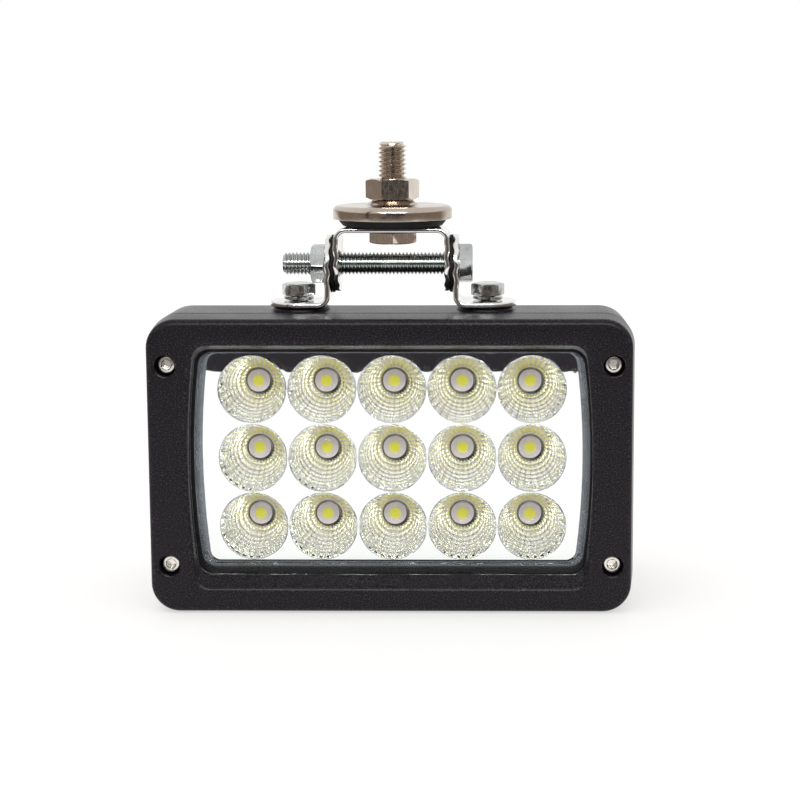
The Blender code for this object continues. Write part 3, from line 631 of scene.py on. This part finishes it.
def seal(name, node, outer, inner, bow=BOW):
    """A gasket: a flat frame with slightly rounded edges."""
    low, high = box_mm(node)
    levels = edge_levels(low.y - FACE_Y, high.y - FACE_Y, 0.12)
    rings = [window_ring(depth, outer, bow, inset) for depth, inset in levels]
    rings += [window_ring(depth, inner, bow, -inset) for depth, inset in reversed(levels)]
    finish_piece(as_object(name, lofted(rings, True), RUBBER), "lamp", node)


def pane_and_seals():
    size = (LENS.x / 2, LENS.z / 2, 5.7)
    levels = edge_levels(LENS_FRONT, LENS_FRONT + LENS.y, 0.35)
    pane = lofted([window_ring(depth, size, BOW, inset) for depth, inset in levels])
    finish_piece(as_object("lens_pane", pane, PANE), "lamp", "lens")
    seal("pane_seal", "lens_gasket", size, RIM_EDGE)
    body, wide = size_mm("housing_gasket"), 1.7
    seal("body_seal", "housing_gasket", (body.x / 2, body.z / 2, 8.0),
         (body.x / 2 - wide, body.z / 2 - wide, 6.5), 0.0)


# --- reflector and LEDs ---

def cup_centres():
    return [middle_mm(f"led_{i:02d}") for i in range(1, 16)]


def cup_radius(depth):
    share = (CUP_END - depth) / (CUP_END - PANEL_DEPTH)
    return math.sqrt(CUP_FLOOR_R ** 2 + (CUP_RIM_R ** 2 - CUP_FLOOR_R ** 2) * share)


def faceted_cup(bm, centre):
    """Rings of cushion-shaped facets on a paraboloid. Returns the loop of vertices at its lip."""
    cells = FACET_CELLS
    columns = CUP_FACETS * cells
    start, end = PANEL_DEPTH + 0.25, CUP_END
    rows = []

    def depth_at(share):
        """Rings grow a little taller towards the floor of the cup."""
        return start + (end - start) * share ** 1.15

    def ring(r, depth, crown_row):
        row = []
        for i in range(columns):
            a = 2 * math.pi * i / columns
            within = (i % cells) / cells
            flat = math.cos(math.pi / CUP_FACETS) / math.cos(2 * math.pi / CUP_FACETS * (within - 0.5))
            bulge = COLUMN_CROWN * crown_row * math.sin(math.pi * within)
            x, z = polar(r * flat - bulge, a)
            row.append(bm.verts.new(at(centre.x + x, depth, centre.z + z)))
        return row

    for outward, forward in ((0.34, 0.0), (0.30, 0.16), (0.16, 0.24), (0.03, 0.16)):
        rows.append(ring(CUP_RIM_R + outward, PANEL_DEPTH - forward, 0.0))
    for band in range(CUP_RINGS):
        bottom, top = depth_at(band / CUP_RINGS), depth_at((band + 1) / CUP_RINGS)
        for cell in range(cells):
            depth = depth_at((band + cell / cells) / CUP_RINGS)
            part = (depth - bottom) / (top - bottom)
            chord = cup_radius(bottom) + (cup_radius(top) - cup_radius(bottom)) * part
            crown = math.sin(math.pi * cell / cells)
            rows.append(ring(chord, depth, crown))
            for v in rows[-1] if cell else ():
                towards = Vector((centre.x - v.co.x, 0, centre.z - v.co.z)).normalized()
                v.co += towards * (RING_CROWN * crown)
    rows.append(ring(CUP_FLOOR_R, end, 0.0))
    for first, second in zip(rows, rows[1:]):
        for i in range(columns):
            j = (i + 1) % columns
            bm.faces.new((first[i], first[j], second[j], second[i]))
    return rows[0]


def reflector():
    """One moulding: rim, flare, flat panel and fifteen faceted cups."""
    body = (LENS_POCKET[0] - 0.4, LENS_POCKET[1] - 0.4, 5.6)
    flare = [window_ring(REFLECTOR_FRONT + 2.9, body, BOW), window_ring(REFLECTOR_FRONT, body, BOW),
             window_ring(REFLECTOR_FRONT, RIM_EDGE, BOW)]
    for step in range(1, 5):
        turn = math.pi / 2 * step / 4
        inward = 1 - math.cos(turn)
        size = [rim - (rim - panel) * inward for rim, panel in zip(RIM_EDGE, PANEL)]
        ring = window_ring(REFLECTOR_FRONT + (PANEL_DEPTH - REFLECTOR_FRONT) * math.sin(turn), size, BOW)
        flare.append([point + Vector((0, 0, PANEL_LIFT * inward)) for point in ring])
    bm = bmesh.new()
    loops = [loft(bm, flare, close_ends=False)[-1]]
    rim_faces = set(bm.faces)
    loops += [faceted_cup(bm, centre) for centre in cup_centres()]
    edges = [bm.edges.get(ends) for loop in loops for ends in zip(loop, loop[1:] + loop[:1])]
    bmesh.ops.triangle_fill(bm, edges=edges, use_beauty=True)
    # The rim and flare take the darker copy of the mirror coat: painted shade
    for face in bm.faces:
        face.material_index = 1 if face in rim_faces else 0
    obj = as_object("faceted_reflector", bm, [MIRROR, SHADED_MIRROR_EDGE], 14)
    mesh = obj.data
    # The flare is smooth, and the panel's edges are crisp so that it reflects as a flat mirror
    flare_y, panel_y = (FACE_Y + PANEL_DEPTH - 0.3) * MM, (FACE_Y + PANEL_DEPTH + 0.02) * MM
    for edge in mesh.edges:
        depths = [mesh.vertices[v].co.y for v in edge.vertices]
        if min(depths) < flare_y:
            edge.use_edge_sharp = False
        elif max(depths) < panel_y:
            edge.use_edge_sharp = True
    wall = obj.modifiers.new("wall", "SOLIDIFY")
    wall.thickness = REFLECTOR_WALL * MM
    wall.offset = -1.0
    apply_modifiers(obj)
    finish_piece(obj, "lamp", "reflector")


def leds():
    """Each LED: a moulded body with a key flat, a phosphor disc and a low clear dome, all set a
    little off the centre of a base, and a black disc on the other side: a painted shadow in the gap."""
    back = box_mm("led_01")[1].y - FACE_Y
    body_r, face, dome_r, dome_rise, key_flat = 3.95, 2.3, 3.45, 0.9, 0.4
    dome = [(0, face - 0.02), (dome_r, face - 0.02)]
    dome += [(dome_r * math.cos(a), face + dome_rise * math.sin(a))
             for a in (math.radians(d) for d in range(6, 90, 7))] + [(0, face + dome_rise)]
    body = [(0, 0), (body_r, 0), (body_r, face - 0.3), (body_r - 0.09, face - 0.09), (body_r - 0.3, face),
            (0, face)]
    disc = [(0, face - 0.1), (1.95, face - 0.1), (1.95, face + 0.04), (1.8, face + 0.1), (0, face + 0.1)]
    base = [(0, -0.05), (4.2, -0.05), (4.2, 1.5), (4.0, 1.75), (0, 1.75)]
    # Painted shadow: a black disc peeks out at one side of the body as the dark crescent of shade in the gap
    shade = [(0, 0.2), (3.9, 0.2), (3.9, 1.9), (0, 1.9)]
    # Each shape's profile, its place in the list of materials and its offset
    off_centre = (-0.15, 0.18, 0)
    # The shade disc takes the black plastic, as painted shadow
    shapes = ((body, 0, off_centre), (disc, 1, off_centre), (dome, 2, off_centre), (base, 0, (0, 0, 0)),
              (shade, 3, (0.2, -0.24, 0)))
    for number, centre in enumerate(cup_centres(), 1):
        made = []
        for profile, material, offset in shapes:
            bm = turned(profile)
            for part in bm.faces:
                part.material_index = material
            if profile is body:
                for v in bm.verts:
                    v.co.y = min(v.co.y, body_r - key_flat)
            made.append(moved(bm, shift(*offset)))
        place = Matrix.Translation(at(centre.x, back, centre.z)) @ FORWARD
        obj = as_object(f"led_emitter_{number:02d}", joined(*made), [LED_BODY, PHOSPHOR, DOME, PLASTIC],
                        place=place)
        finish_piece(obj, "lamp", f"led_{number:02d}")


# --- housing ---

def fin(bm, x, root, tip, foot_z, head_z):
    """One cooling fin: round tip and ends, drafted sides and a fillet into the back wall."""
    half, shortening = 1.0, 7.0
    # Depth and half thickness: first the fillet at the root, then the round tip
    sections = [(root - 1.4, half + 1.15), (root, half + 0.9), (root + 0.35, half + 0.42),
                (root + 1.1, half + 0.12), (tip - 1.0, half - 0.16), (tip - 0.5, half - 0.30),
                (tip - 0.18, half - 0.52), (tip, half - 0.85)]
    rings = []
    for depth, w in sections:
        inset = shortening * (depth - root) / (tip - root) + max(0.0, half - w)
        ring = []
        for sign, z in ((1, head_z - inset), (-1, foot_z + inset)):
            for i in range(7):
                across, up = polar(w, math.pi * i / 6)
                ring.append(at(x + sign * across, depth, z + sign * (up - w)))
        rings.append(ring)
    loft(bm, rings)


def housing():
    """Cast body: shell, fins, a flat boss for gland and vent, bosses for the feet, and its cavities."""
    low, high = box_mm("rear_housing")
    front, tip, top = low.y - FACE_Y, high.y - FACE_Y, BODY.z
    back, edge_r = 36.0, 2.5
    rings = [window_ring(front, BEZEL_BACK, inset=0.45), window_ring(front + 0.45, BEZEL_BACK)]
    for step in range(9):
        across, deep = polar(edge_r, math.radians(90 * step / 8))
        rings.append(window_ring(back - edge_r + deep, BEZEL_BACK, inset=edge_r - across))
    obj = as_object("housing_casting", lofted(rings), POWDER)
    fins = bmesh.new()
    for number in range(-8, 9):
        fin(fins, 9.0 * number, back, tip, 4.0, top - 4.0)
    boolean(obj, fins, "UNION")

    boss_x, boss_z, boss_back = 33.5, 20.0, BOSS_BACK
    boolean(obj, lofted([window_ring(d, (boss_x + 4.5, boss_z + 4, 3.0)) for d in (boss_back, tip + 1)]))
    sections = [(back - 2, -1.6), (back + 0.2, -1.4), (back + 0.8, -0.6), (back + 1.6, -0.15),
                (boss_back - 1.2, 0.25), (boss_back - 0.55, 0.42), (boss_back - 0.15, 0.85), (boss_back, 1.4)]
    boss = lofted([window_ring(d, (boss_x, boss_z, 4.0), inset=inset) for d, inset in sections])
    boolean(obj, boss, "UNION")

    pad_x, half_x, half_y = 31.3, 9.6, 8.6
    outline = window_outline(half_x, half_y, 8.4)
    levels = [(top - 1.5, 0.0), (top, -0.1), (top + 0.55, 0.1), (top + 0.85, 0.3), (top + 1.0, 0.6)]
    for side in (-1, 1):
        centre = Vector((side * pad_x, AXIS_Y, 0))
        pad = [[centre + Vector((x * (1 - inset / half_x), y * (1 - inset / half_y), z)) for x, y in outline]
               for z, inset in levels]
        boolean(obj, lofted(pad), "UNION")

    mouth, room, floor, pocket_floor = (70.9, 45.3, 8.3), (68.6, 43.0, 6.2), 33.4, 45.0
    boolean(obj, lofted([window_ring(d, s) for d, s in (
        (SEAM - 1, mouth), (SEAM + 1.5, mouth), (SEAM + 1.5, room), (floor, room))]))
    boolean(obj, lofted([window_ring(d, (30.5, 17.0, 2.0)) for d in (floor - 1, pocket_floor)]))
    board_screws = [middle_mm(f"board_screw_{i}") for i in range(1, 5)]
    # Each bore's x, z, radius, start and end
    holes = [(c.x, c.z, 2.3, SEAM - 1, 28.0) for c in BEZEL_SCREWS]
    holes += [(c.x, c.z, 1.75, floor - 1, floor + 1.8) for c in board_screws]
    holes += [(middle_mm(node).x, MID_Z, r, pocket_floor - 1, boss_back + 2)
              for node, r in (("gland_body", 5.3), ("vent_plug", 2.7))]
    drills = [moved(cylinder(r, start, end, 32), shift(x, FACE_Y, z) @ BACKWARD)
              for x, z, r, start, end in holes]
    drills += [moved(cylinder(3.3, top - 5, top + 3, 32), shift(side * FOOT_BOLT_X, AXIS_Y, 0))
               for side in (-1, 1)]
    boolean(obj, joined(*drills))
    smooth(obj.data)
    finish_piece(obj, "lamp", "rear_housing")


def gland_and_vent():
    """Cable gland, its ribbed cap nut and the vent plug, all on the flat boss at the back."""
    x, start = middle_mm("gland_body").x, BOSS_BACK + 0.3
    place = shift(x, FACE_Y + start, MID_Z) @ BACKWARD
    body = hexagon(12.8, 3.6, False)
    boolean(body, threaded_rod(5.0, 1.5, -3.7, 8.0, lead_high=True), "UNION")
    screw_object("gland_socket", body, cylinder(3.2, -6, 12, 40), PLASTIC, place, "DIFFERENCE")
    finish_piece(body, "lamp", "gland_body")

    ribs, rib_depth = 24, 0.28
    # Radius, height and how deep the ribs are there
    profile = [(5.35, 0.0, 0), (6.6, 0.0, 0), (6.85, 0.3, 1), (6.85, 4.1, 1), (6.6, 4.6, 0.5), (6.2, 5.6, 0),
               (5.4, 6.7, 0), (4.9, 7.0, 0), (3.5, 7.0, 0), (3.2, 6.7, 0), (3.2, 5.6, 0), (5.35, 4.6, 0)]
    angles = [2 * math.pi * i / (ribs * 6) for i in range(ribs * 6)]
    rings = [[Vector((*polar(r - rib_depth * ribbed * (0.5 + 0.5 * math.cos(ribs * a)), a), z))
              for a in angles] for r, z, ribbed in profile]
    nut = as_object("gland_cap", lofted(rings, True), PLASTIC,
                    place=shift(x, FACE_Y + start + 3.9, MID_Z) @ BACKWARD)
    finish_piece(nut, "lamp", "gland_nut")

    profile = [(0, -3.6), (2.2, -3.6), (2.4, -3.3), (2.4, 0), (4.3, 0), (4.5, 0.2), (4.5, 1.8)]
    profile += arc(3.9, 1.95, 0.6, 0, 90, 5) + [(2.2, 2.5), (1.9, 2.3), (0, 2.3)]
    plug = as_object("vent_cap", turned(profile), PLASTIC,
                     place=shift(middle_mm("vent_plug").x, FACE_Y + start, MID_Z) @ BACKWARD)
    finish_piece(plug, "lamp", "vent_plug")


# --- bracket ---

def tooth_wave(across, up):
    """Pressed radial teeth round the pivot: height at a point of the plate, from the pivot."""
    r = math.hypot(across, up)
    if r < 4.4 or r > 14.0:
        return 0.0
    rise = min(1.0, max(0.0, (r - 4.6) / 1.6))
    fade = min(1.0, max(0.0, (13.6 - r) / 2.6))
    share = (rise * rise * (3 - 2 * rise)) * (fade * fade * (3 - 2 * fade))
    return TEETH_HEIGHT * share * math.cos(TEETH * math.atan2(up, across))


def pressed_strip(path, thickness, end_r):
    """A strip along an (x, z) path, round at both ends, toothed where its upright legs pass the pivot."""
    step, cells = 0.4, 52
    lengths = [0.0]
    for (x0, z0), (x1, z1) in zip(path, path[1:]):
        lengths.append(lengths[-1] + math.hypot(x1 - x0, z1 - z0))
    total = lengths[-1]

    def point_at(s):
        for (x0, z0), (x1, z1), s0, s1 in zip(path, path[1:], lengths, lengths[1:]):
            if s <= s1 + 1e-6:
                share = (s - s0) / (s1 - s0)
                return Vector((x0 + (x1 - x0) * share, z0 + (z1 - z0) * share))
        return Vector(path[-1])

    count = int(total / step)
    ends = [end_r * (1 - math.cos(math.radians(a))) for a in (4, 8, 12, 16, 20, 25, 30)]
    middle = [total * i / count for i in range(count + 1)]
    middle = [s for s in middle if ends[-1] + 0.2 < s < total - ends[-1] - 0.2]
    bm = bmesh.new()
    sheets = ([], [])
    for s in sorted(ends + middle + [total - s for s in ends]):
        along = (point_at(min(s + 0.3, total)) - point_at(max(s - 0.3, 0.0))).normalized()
        across = Vector((-along.y, along.x))
        reach = end_r - min(end_r, s, total - s)
        width = STRIP_HALF - end_r + math.sqrt(max(end_r ** 2 - reach ** 2, 0.01))
        centre = point_at(s)
        outward = 0.0 if abs(along.y) <= 0.9 else math.copysign(1, across.x) * math.copysign(1, centre.x)
        for rows, side in zip(sheets, (-1, 1)):
            row = []
            for k in range(cells + 1):
                w = width * math.sin(math.pi * (k / cells - 0.5))
                corner = max(0.0, EDGE_ROUND - (width - abs(w)))
                lift = side * (thickness / 2 - EDGE_ROUND + math.sqrt(EDGE_ROUND ** 2 - corner ** 2))
                lift += outward * tooth_wave(w, centre.y - TILT_Z)
                row.append(bm.verts.new((centre.x + across.x * lift, AXIS_Y + w, centre.y + across.y * lift)))
            rows.append(row)
    for rows in sheets:
        for first, second in zip(rows, rows[1:]):
            for k in range(cells):
                bm.faces.new((first[k], first[k + 1], second[k + 1], second[k]))
    outer, inner = sheets
    for first, second, third, fourth in zip(outer, outer[1:], inner, inner[1:]):
        for k in (0, cells):
            bm.faces.new((first[k], second[k], fourth[k], third[k]))
    for end in (0, -1):
        for k in range(cells):
            bm.faces.new((outer[end][k], outer[end][k + 1], inner[end][k + 1], inner[end][k]))
    return bm


def feet():
    """L-shaped feet, pressed from polished strip."""
    thick = 1.75
    low_z = box_mm("foot_left")[0].z
    for side, name in SIDES:
        low, high = box_mm(f"foot_{name}")
        inner, tip = sorted((abs(low.x), abs(high.x)))
        flange, upright = low_z + thick / 2, inner + thick / 2
        path = [(tip, flange)] + arc(upright + BEND_R, flange + BEND_R, BEND_R, 270, 180, 10)
        path = [(side * x, z) for x, z in path + [(upright, high.z)]]
        obj = as_object(f"foot_plate_{name}", pressed_strip(path, thick, STRIP_HALF), CHROME)
        drill(obj, 3.4, 0, 8, shift(side * FOOT_BOLT_X, AXIS_Y, flange - 4))
        drill(obj, PIVOT_R, 0, 8, shift(side * upright - 4, AXIS_Y, TILT_Z) @ RIGHTWARD)
        round_edges(obj, 0.2, 2, 50)
        finish_piece(obj, "lamp", f"foot_{name}")


def swivel_bracket():
    low, high = box_mm("swivel_bracket")
    thick = 1.7
    upright, top = high.x - thick / 2, high.z - thick / 2
    path = [(upright, low.z)] + arc(upright - BEND_R, top - BEND_R, BEND_R, 0, 90, 10)
    path += [(-x, z) for x, z in reversed(path)]
    obj = as_object("swivel_yoke", pressed_strip(path, thick, 9.6), CHROME)
    drill(obj, PIVOT_R, -25, 25, shift(0, AXIS_Y, TILT_Z) @ RIGHTWARD)
    drill(obj, 5.3, -8, 8, shift(0, AXIS_Y, top))
    round_edges(obj, 0.2, 2, 50)
    finish_piece(obj, "bracket", "swivel_bracket")


def toothed_washers():
    """Rubber washers whose faces follow the plates' teeth."""
    # Radius and how far the face stands out there
    section = [(4.4, 0.0)] + [(4.6 + 0.8 * i, 0.12) for i in range(7)] + [(9.65, 0.09), (9.8, 0.0)]
    for side, name in SIDES:
        low, high = box_mm(f"toothed_washer_{name}")
        centre_x, half = (low.x + high.x) / 2, (high.x - low.x) / 2 - 0.12
        rings = []
        for face, points in ((1, section), (-1, section[::-1])):
            for r, plump in points:
                ring = []
                for i in range(144):
                    across, up = polar(r, 2 * math.pi * i / 144)
                    x = centre_x + side * tooth_wave(across, up) + face * (half + plump)
                    ring.append(Vector((x, AXIS_Y + across, TILT_Z + up)))
                rings.append(ring)
        obj = as_object(f"rubber_tooth_washer_{name}", lofted(rings, True), RUBBER)
        finish_piece(obj, "bracket", f"toothed_washer_{name}")


def screw_object(name, head, rod, finish, place, operation="UNION"):
    """Joins a thread to a hexagon, or cuts a bore into it, and puts the piece in place."""
    if rod is not None:
        boolean(head, rod, operation)
    head.data.transform(Matrix.Scale(MM, 4) @ place @ Matrix.Scale(1 / MM, 4))
    head.name = name
    head.data.materials.clear()
    head.data.materials.append(finish)
    smooth(head.data, 32)
    return head


def hex_fastener(name, body, node, finish, place, flats, height, rod=None, bore=(), rounding=0.12):
    """A bolt whose thread is joined to its head, or a nut with a bore."""
    head = hexagon(flats, height, rod is None, *bore)
    round_edges(head, rounding, 1, 25)
    obj = screw_object(name, head, rod, finish, place)
    finish_piece(obj, body, node)


def cross_bolt():
    """M8 bolt threaded to its head, and its nut."""
    low, high = box_mm("tilt_bolt")
    head_h = 4.5
    face = high.x - head_h
    rod = threaded_rod(3.85, 1.25, -(face - low.x), 0.3)
    place = shift(face, AXIS_Y, TILT_Z) @ RIGHTWARD @ spin(-14)
    hex_fastener("cross_bolt_m8", "lamp", "tilt_bolt", ZINC, place, M8_FLATS, head_h, rod)
    low, high = box_mm("tilt_nut")
    place = shift(high.x, AXIS_Y, TILT_Z) @ LEFTWARD @ spin(-2)
    hex_fastener("cross_bolt_nut", "lamp", "tilt_nut", ZINC, place, M8_FLATS, high.x - low.x, bore=(4.1, 0.5))


def foot_fixings():
    """M6 bolts of the feet and their split washers."""
    head_h = 4.0
    inner, outer, edge, rise, gap = 3.3, 5.1, 0.12, 0.3, 10
    for side, name in SIDES:
        low, high = box_mm(f"foot_bolt_{name}")
        face = high.z - head_h
        rod = threaded_rod(2.9, 1.0, low.z - face, 0.3, 32)
        place = shift(side * FOOT_BOLT_X, AXIS_Y, face) @ spin(98 if side > 0 else 85)
        hex_fastener(f"foot_bolt_m6_{name}", "lamp", f"foot_bolt_{name}", ZINC, place, 10.0, head_h, rod)

        low, high = box_mm(f"foot_spring_washer_{name}")
        thick = high.z - low.z - rise
        section = [(inner, 0.0), (outer - edge, 0.0), (outer, edge), (outer, thick - edge),
                   (outer - edge, thick), (inner, thick)]
        centre = Vector((side * FOOT_BOLT_X, AXIS_Y, low.z))
        rings = [[centre + Vector((*polar(r, math.radians(-80 + (360 - gap) * share)), rise * share + h))
                  for r, h in section] for share in (i / 60 for i in range(61))]
        obj = as_object(f"split_washer_{name}", lofted(rings), ZINC)
        finish_piece(obj, "lamp", f"foot_spring_washer_{name}")


def stud_mount():
    """M10 stud with its hexagon head below the yoke, rubber pad, cup washer and nut."""
    low, high = box_mm("mount_stud")
    head_h, bore = 3.8, 5.4
    head_top = low.z + head_h
    rod = threaded_rod(4.7, 1.5, -(high.z - head_top), 0.3, 48)
    place = shift(0, AXIS_Y, head_top) @ Matrix.Rotation(math.pi, 4, "X") @ spin(-4)
    hex_fastener("stud_m10", "mount", "mount_stud", STAINLESS, place, M10_FLATS, head_h, rod, rounding=0.15)

    low, high = box_mm("mount_pad")
    on_axis = shift(0, AXIS_Y, 0)
    rim = high.x
    profile = [(bore, low.z)] + arc(rim - 2.0, low.z + 0.7, 0.7, 270, 330, 4)
    profile += [(rim - 0.25, low.z + 1.8)] + arc(rim - 0.6, low.z + 2.6, 0.6, -20, 30, 4)
    profile += arc(rim - 0.4, high.z - 0.4, 0.4, 0, 90, 4) + [(bore, high.z)]
    obj = as_object("rubber_pad", turned(profile, 96), RUBBER, 40, on_axis)
    finish_piece(obj, "mount", "mount_pad")

    low, high = box_mm("cup_washer")
    rim, top, roll, sheet = high.x, high.z - 1.65, 1.9, 1.3
    cone_r, cone_foot, under = 7.2, 9.0, top - sheet + 0.05
    profile = [(bore, high.z)] + arc(cone_r - 0.5, high.z - 0.5, 0.5, 90, 40, 4)
    profile += [(cone_foot - 0.35, top + 0.35), (cone_foot + 0.1, top + 0.08), (cone_foot + 0.7, top)]
    profile += arc(rim - roll, top - roll, roll, 90, 0, 10)
    profile += arc(rim - 0.25, low.z + 0.25, 0.25, 0, -90, 4)
    profile += [(rim - sheet + 0.2, low.z), (rim - sheet, low.z + 0.2), (rim - sheet, under), (bore, under)]
    # The washer's darker, browner steel is partly a painted reflection of the brown room
    obj = as_object("cup_washer_pressed", turned(profile, 128), SPUN_STAINLESS_PAINTED_REFLECTION, 40, on_axis)
    finish_piece(obj, "mount", "cup_washer")

    low, high = box_mm("mount_nut")
    place = shift(0, AXIS_Y, low.z) @ spin(100)
    hex_fastener("stud_nut_m10", "clamp_nut", "mount_nut", STAINLESS, place, M10_FLATS, high.z - low.z,
                 bore=(5.0, 0.6), rounding=0.15)


def hidden_pieces():
    """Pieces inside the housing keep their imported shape."""
    repaint("led_board", BOARD)
    repaint("driver_board", DRIVER)
    for number in range(1, 5):
        repaint(f"board_screw_{number}", STAINLESS)


# --- stage ---

def flat_board(name, outline, finish):
    """One flat face in the XY plane from (x, y) points, in metres."""
    bm = bmesh.new()
    bm.faces.new([bm.verts.new((x, y, 0.0)) for x, y in outline])
    obj = add_object(name, as_mesh(name, bm))
    obj.data.materials.append(finish)
    return obj


def card(name, width, height, place, colour):
    """A glowing upright board outside the view that only reflections see."""
    n = bare(name)
    glow = n.add("ShaderNodeEmission", Color=colour, Strength=1.0)
    n.link(glow.outputs["Emission"], n.output.inputs["Surface"])
    corners = [(x * width / 2, y * height / 2) for x, y in ((-1, -1), (1, -1), (1, 1), (-1, 1))]
    obj = flat_board(name, corners, n.owner)
    obj.matrix_world = shift(*place) @ FORWARD
    obj.visible_camera = obj.visible_shadow = obj.visible_diffuse = False


def surroundings(world):
    """White studio with a brownish band at eye level, darkest straight in front of the lamp."""
    n = Nodes(world)
    split = n.add("ShaderNodeSeparateXYZ", Vector=n.add("ShaderNodeTexCoord").outputs["Generated"])
    azimuth = n.math("ARCTAN2", split.outputs["X"], n.math("MULTIPLY", split.outputs["Y"], -1.0))

    def ramp(source, reach, stops):
        """Colours by a value from -reach to reach: each stop is (value, colour)."""
        stops = [((value + reach) / (2 * reach), colour) for value, colour in stops]
        return n.ramp(n.span(source, 0.0, 1.0, -reach, reach), stops)

    white, brown, dark = (1.0, 0.995, 0.985), (0.30, 0.25, 0.215), (0.085, 0.070, 0.070)
    band = ramp(azimuth, math.pi, [(math.radians(turn), colour) for turn, colour in (
        (-150, white), (-118, brown), (-24, brown), (-14, dark), (14, dark), (26, brown), (108, brown),
        (130, white))])
    black, full = (0.0, 0.0, 0.0), (1.0, 1.0, 1.0)
    level = ramp(split.outputs["Z"], 1.0, [(-0.30, black), (-0.16, full), (0.10, full), (0.26, black)])
    seen = n.add("ShaderNodeLightPath").outputs["Is Camera Ray"]
    background = n.tree.nodes["Background"]
    n.link(n.mix(seen, n.mix(level, white, band), full), background.inputs["Color"])
    background.inputs["Strength"].default_value = 1.0


def light(name, kind, energy, towards, **settings):
    """A lamp that shines along a direction."""
    data = bpy.data.lights.new(name, kind)
    data.energy = energy
    for key, value in settings.items():
        setattr(data, key, value)
    obj = add_object(name, data)
    obj.rotation_euler = Vector(towards).to_track_quat("-Z", "Y").to_euler()
    return obj


def stage():
    """White floor that ends just short of the camera, world, lamps and cards."""
    paper = Nodes("floor_white").set(colour=(0.46, 0.455, 0.445), glow=(1.0, 1.0, 1.0), glow_strength=0.56,
                                     rough=0.8, specular=0.1)
    front_half, back_half = 0.50, 3.0
    floor = flat_board("floor", [(-front_half, -0.46), (front_half, -0.46), (front_half, 0.1),
                                 (back_half, 3.0), (-back_half, 3.0), (-front_half, 0.1)], paper)

    world = bpy.data.worlds.new("studio")
    bpy.context.scene.world = world
    surroundings(world)
    bpy.context.scene.view_settings.view_transform = "Standard"

    where, aim = Vector((0.05, -0.95, 0.60)), Vector((0, 0, 0.05))
    front = light("front_top", "AREA", 9, aim - where, shape="RECTANGLE", size=0.9, size_y=0.16)
    front.location = where
    front.visible_diffuse = False
    sky = light("soft_sky", "SUN", 0.5, (0.35, 0.1, -1.0), angle=math.radians(60))
    sky.visible_glossy = False

    card("room_card", 1.6, 0.15, (-0.1, -0.82, 0.145), (0.27, 0.225, 0.19))
    card("camera_card", 0.38, 0.11, (0.10, -0.60, 0.155), (0.03, 0.024, 0.027))
    card("post_card", 0.12, 0.9, (-0.55, -0.55, 0.45), (0.06, 0.055, 0.055))
    card("paper_edge", 0.9, 0.032, (0.03, -0.475, -0.006), (0.03, 0.027, 0.03))


def camera():
    """Camera fitted to the photograph: lens, shift, place and the way it is turned."""
    data = bpy.data.cameras.new("camera")
    data.sensor_width = 36.0
    data.lens = 62.95
    data.shift_x, data.shift_y = -0.0835, -0.1620
    data.clip_start = 0.01
    yaw, pitch, roll = 0.668, 5.969, -0.126
    obj = add_object("camera", data)
    obj.matrix_world = shift(0.0306, -0.4782, 0.1611) @ spin(yaw) \
        @ Matrix.Rotation(math.radians(90 - pitch), 4, "X") @ spin(roll)
    bpy.context.scene.camera = obj


camera()
stage()
bezel()
bezel_screws()
pane_and_seals()
reflector()
leds()
housing()
gland_and_vent()
feet()
swivel_bracket()
toothed_washers()
cross_bolt()
foot_fixings()
stud_mount()
hidden_pieces()
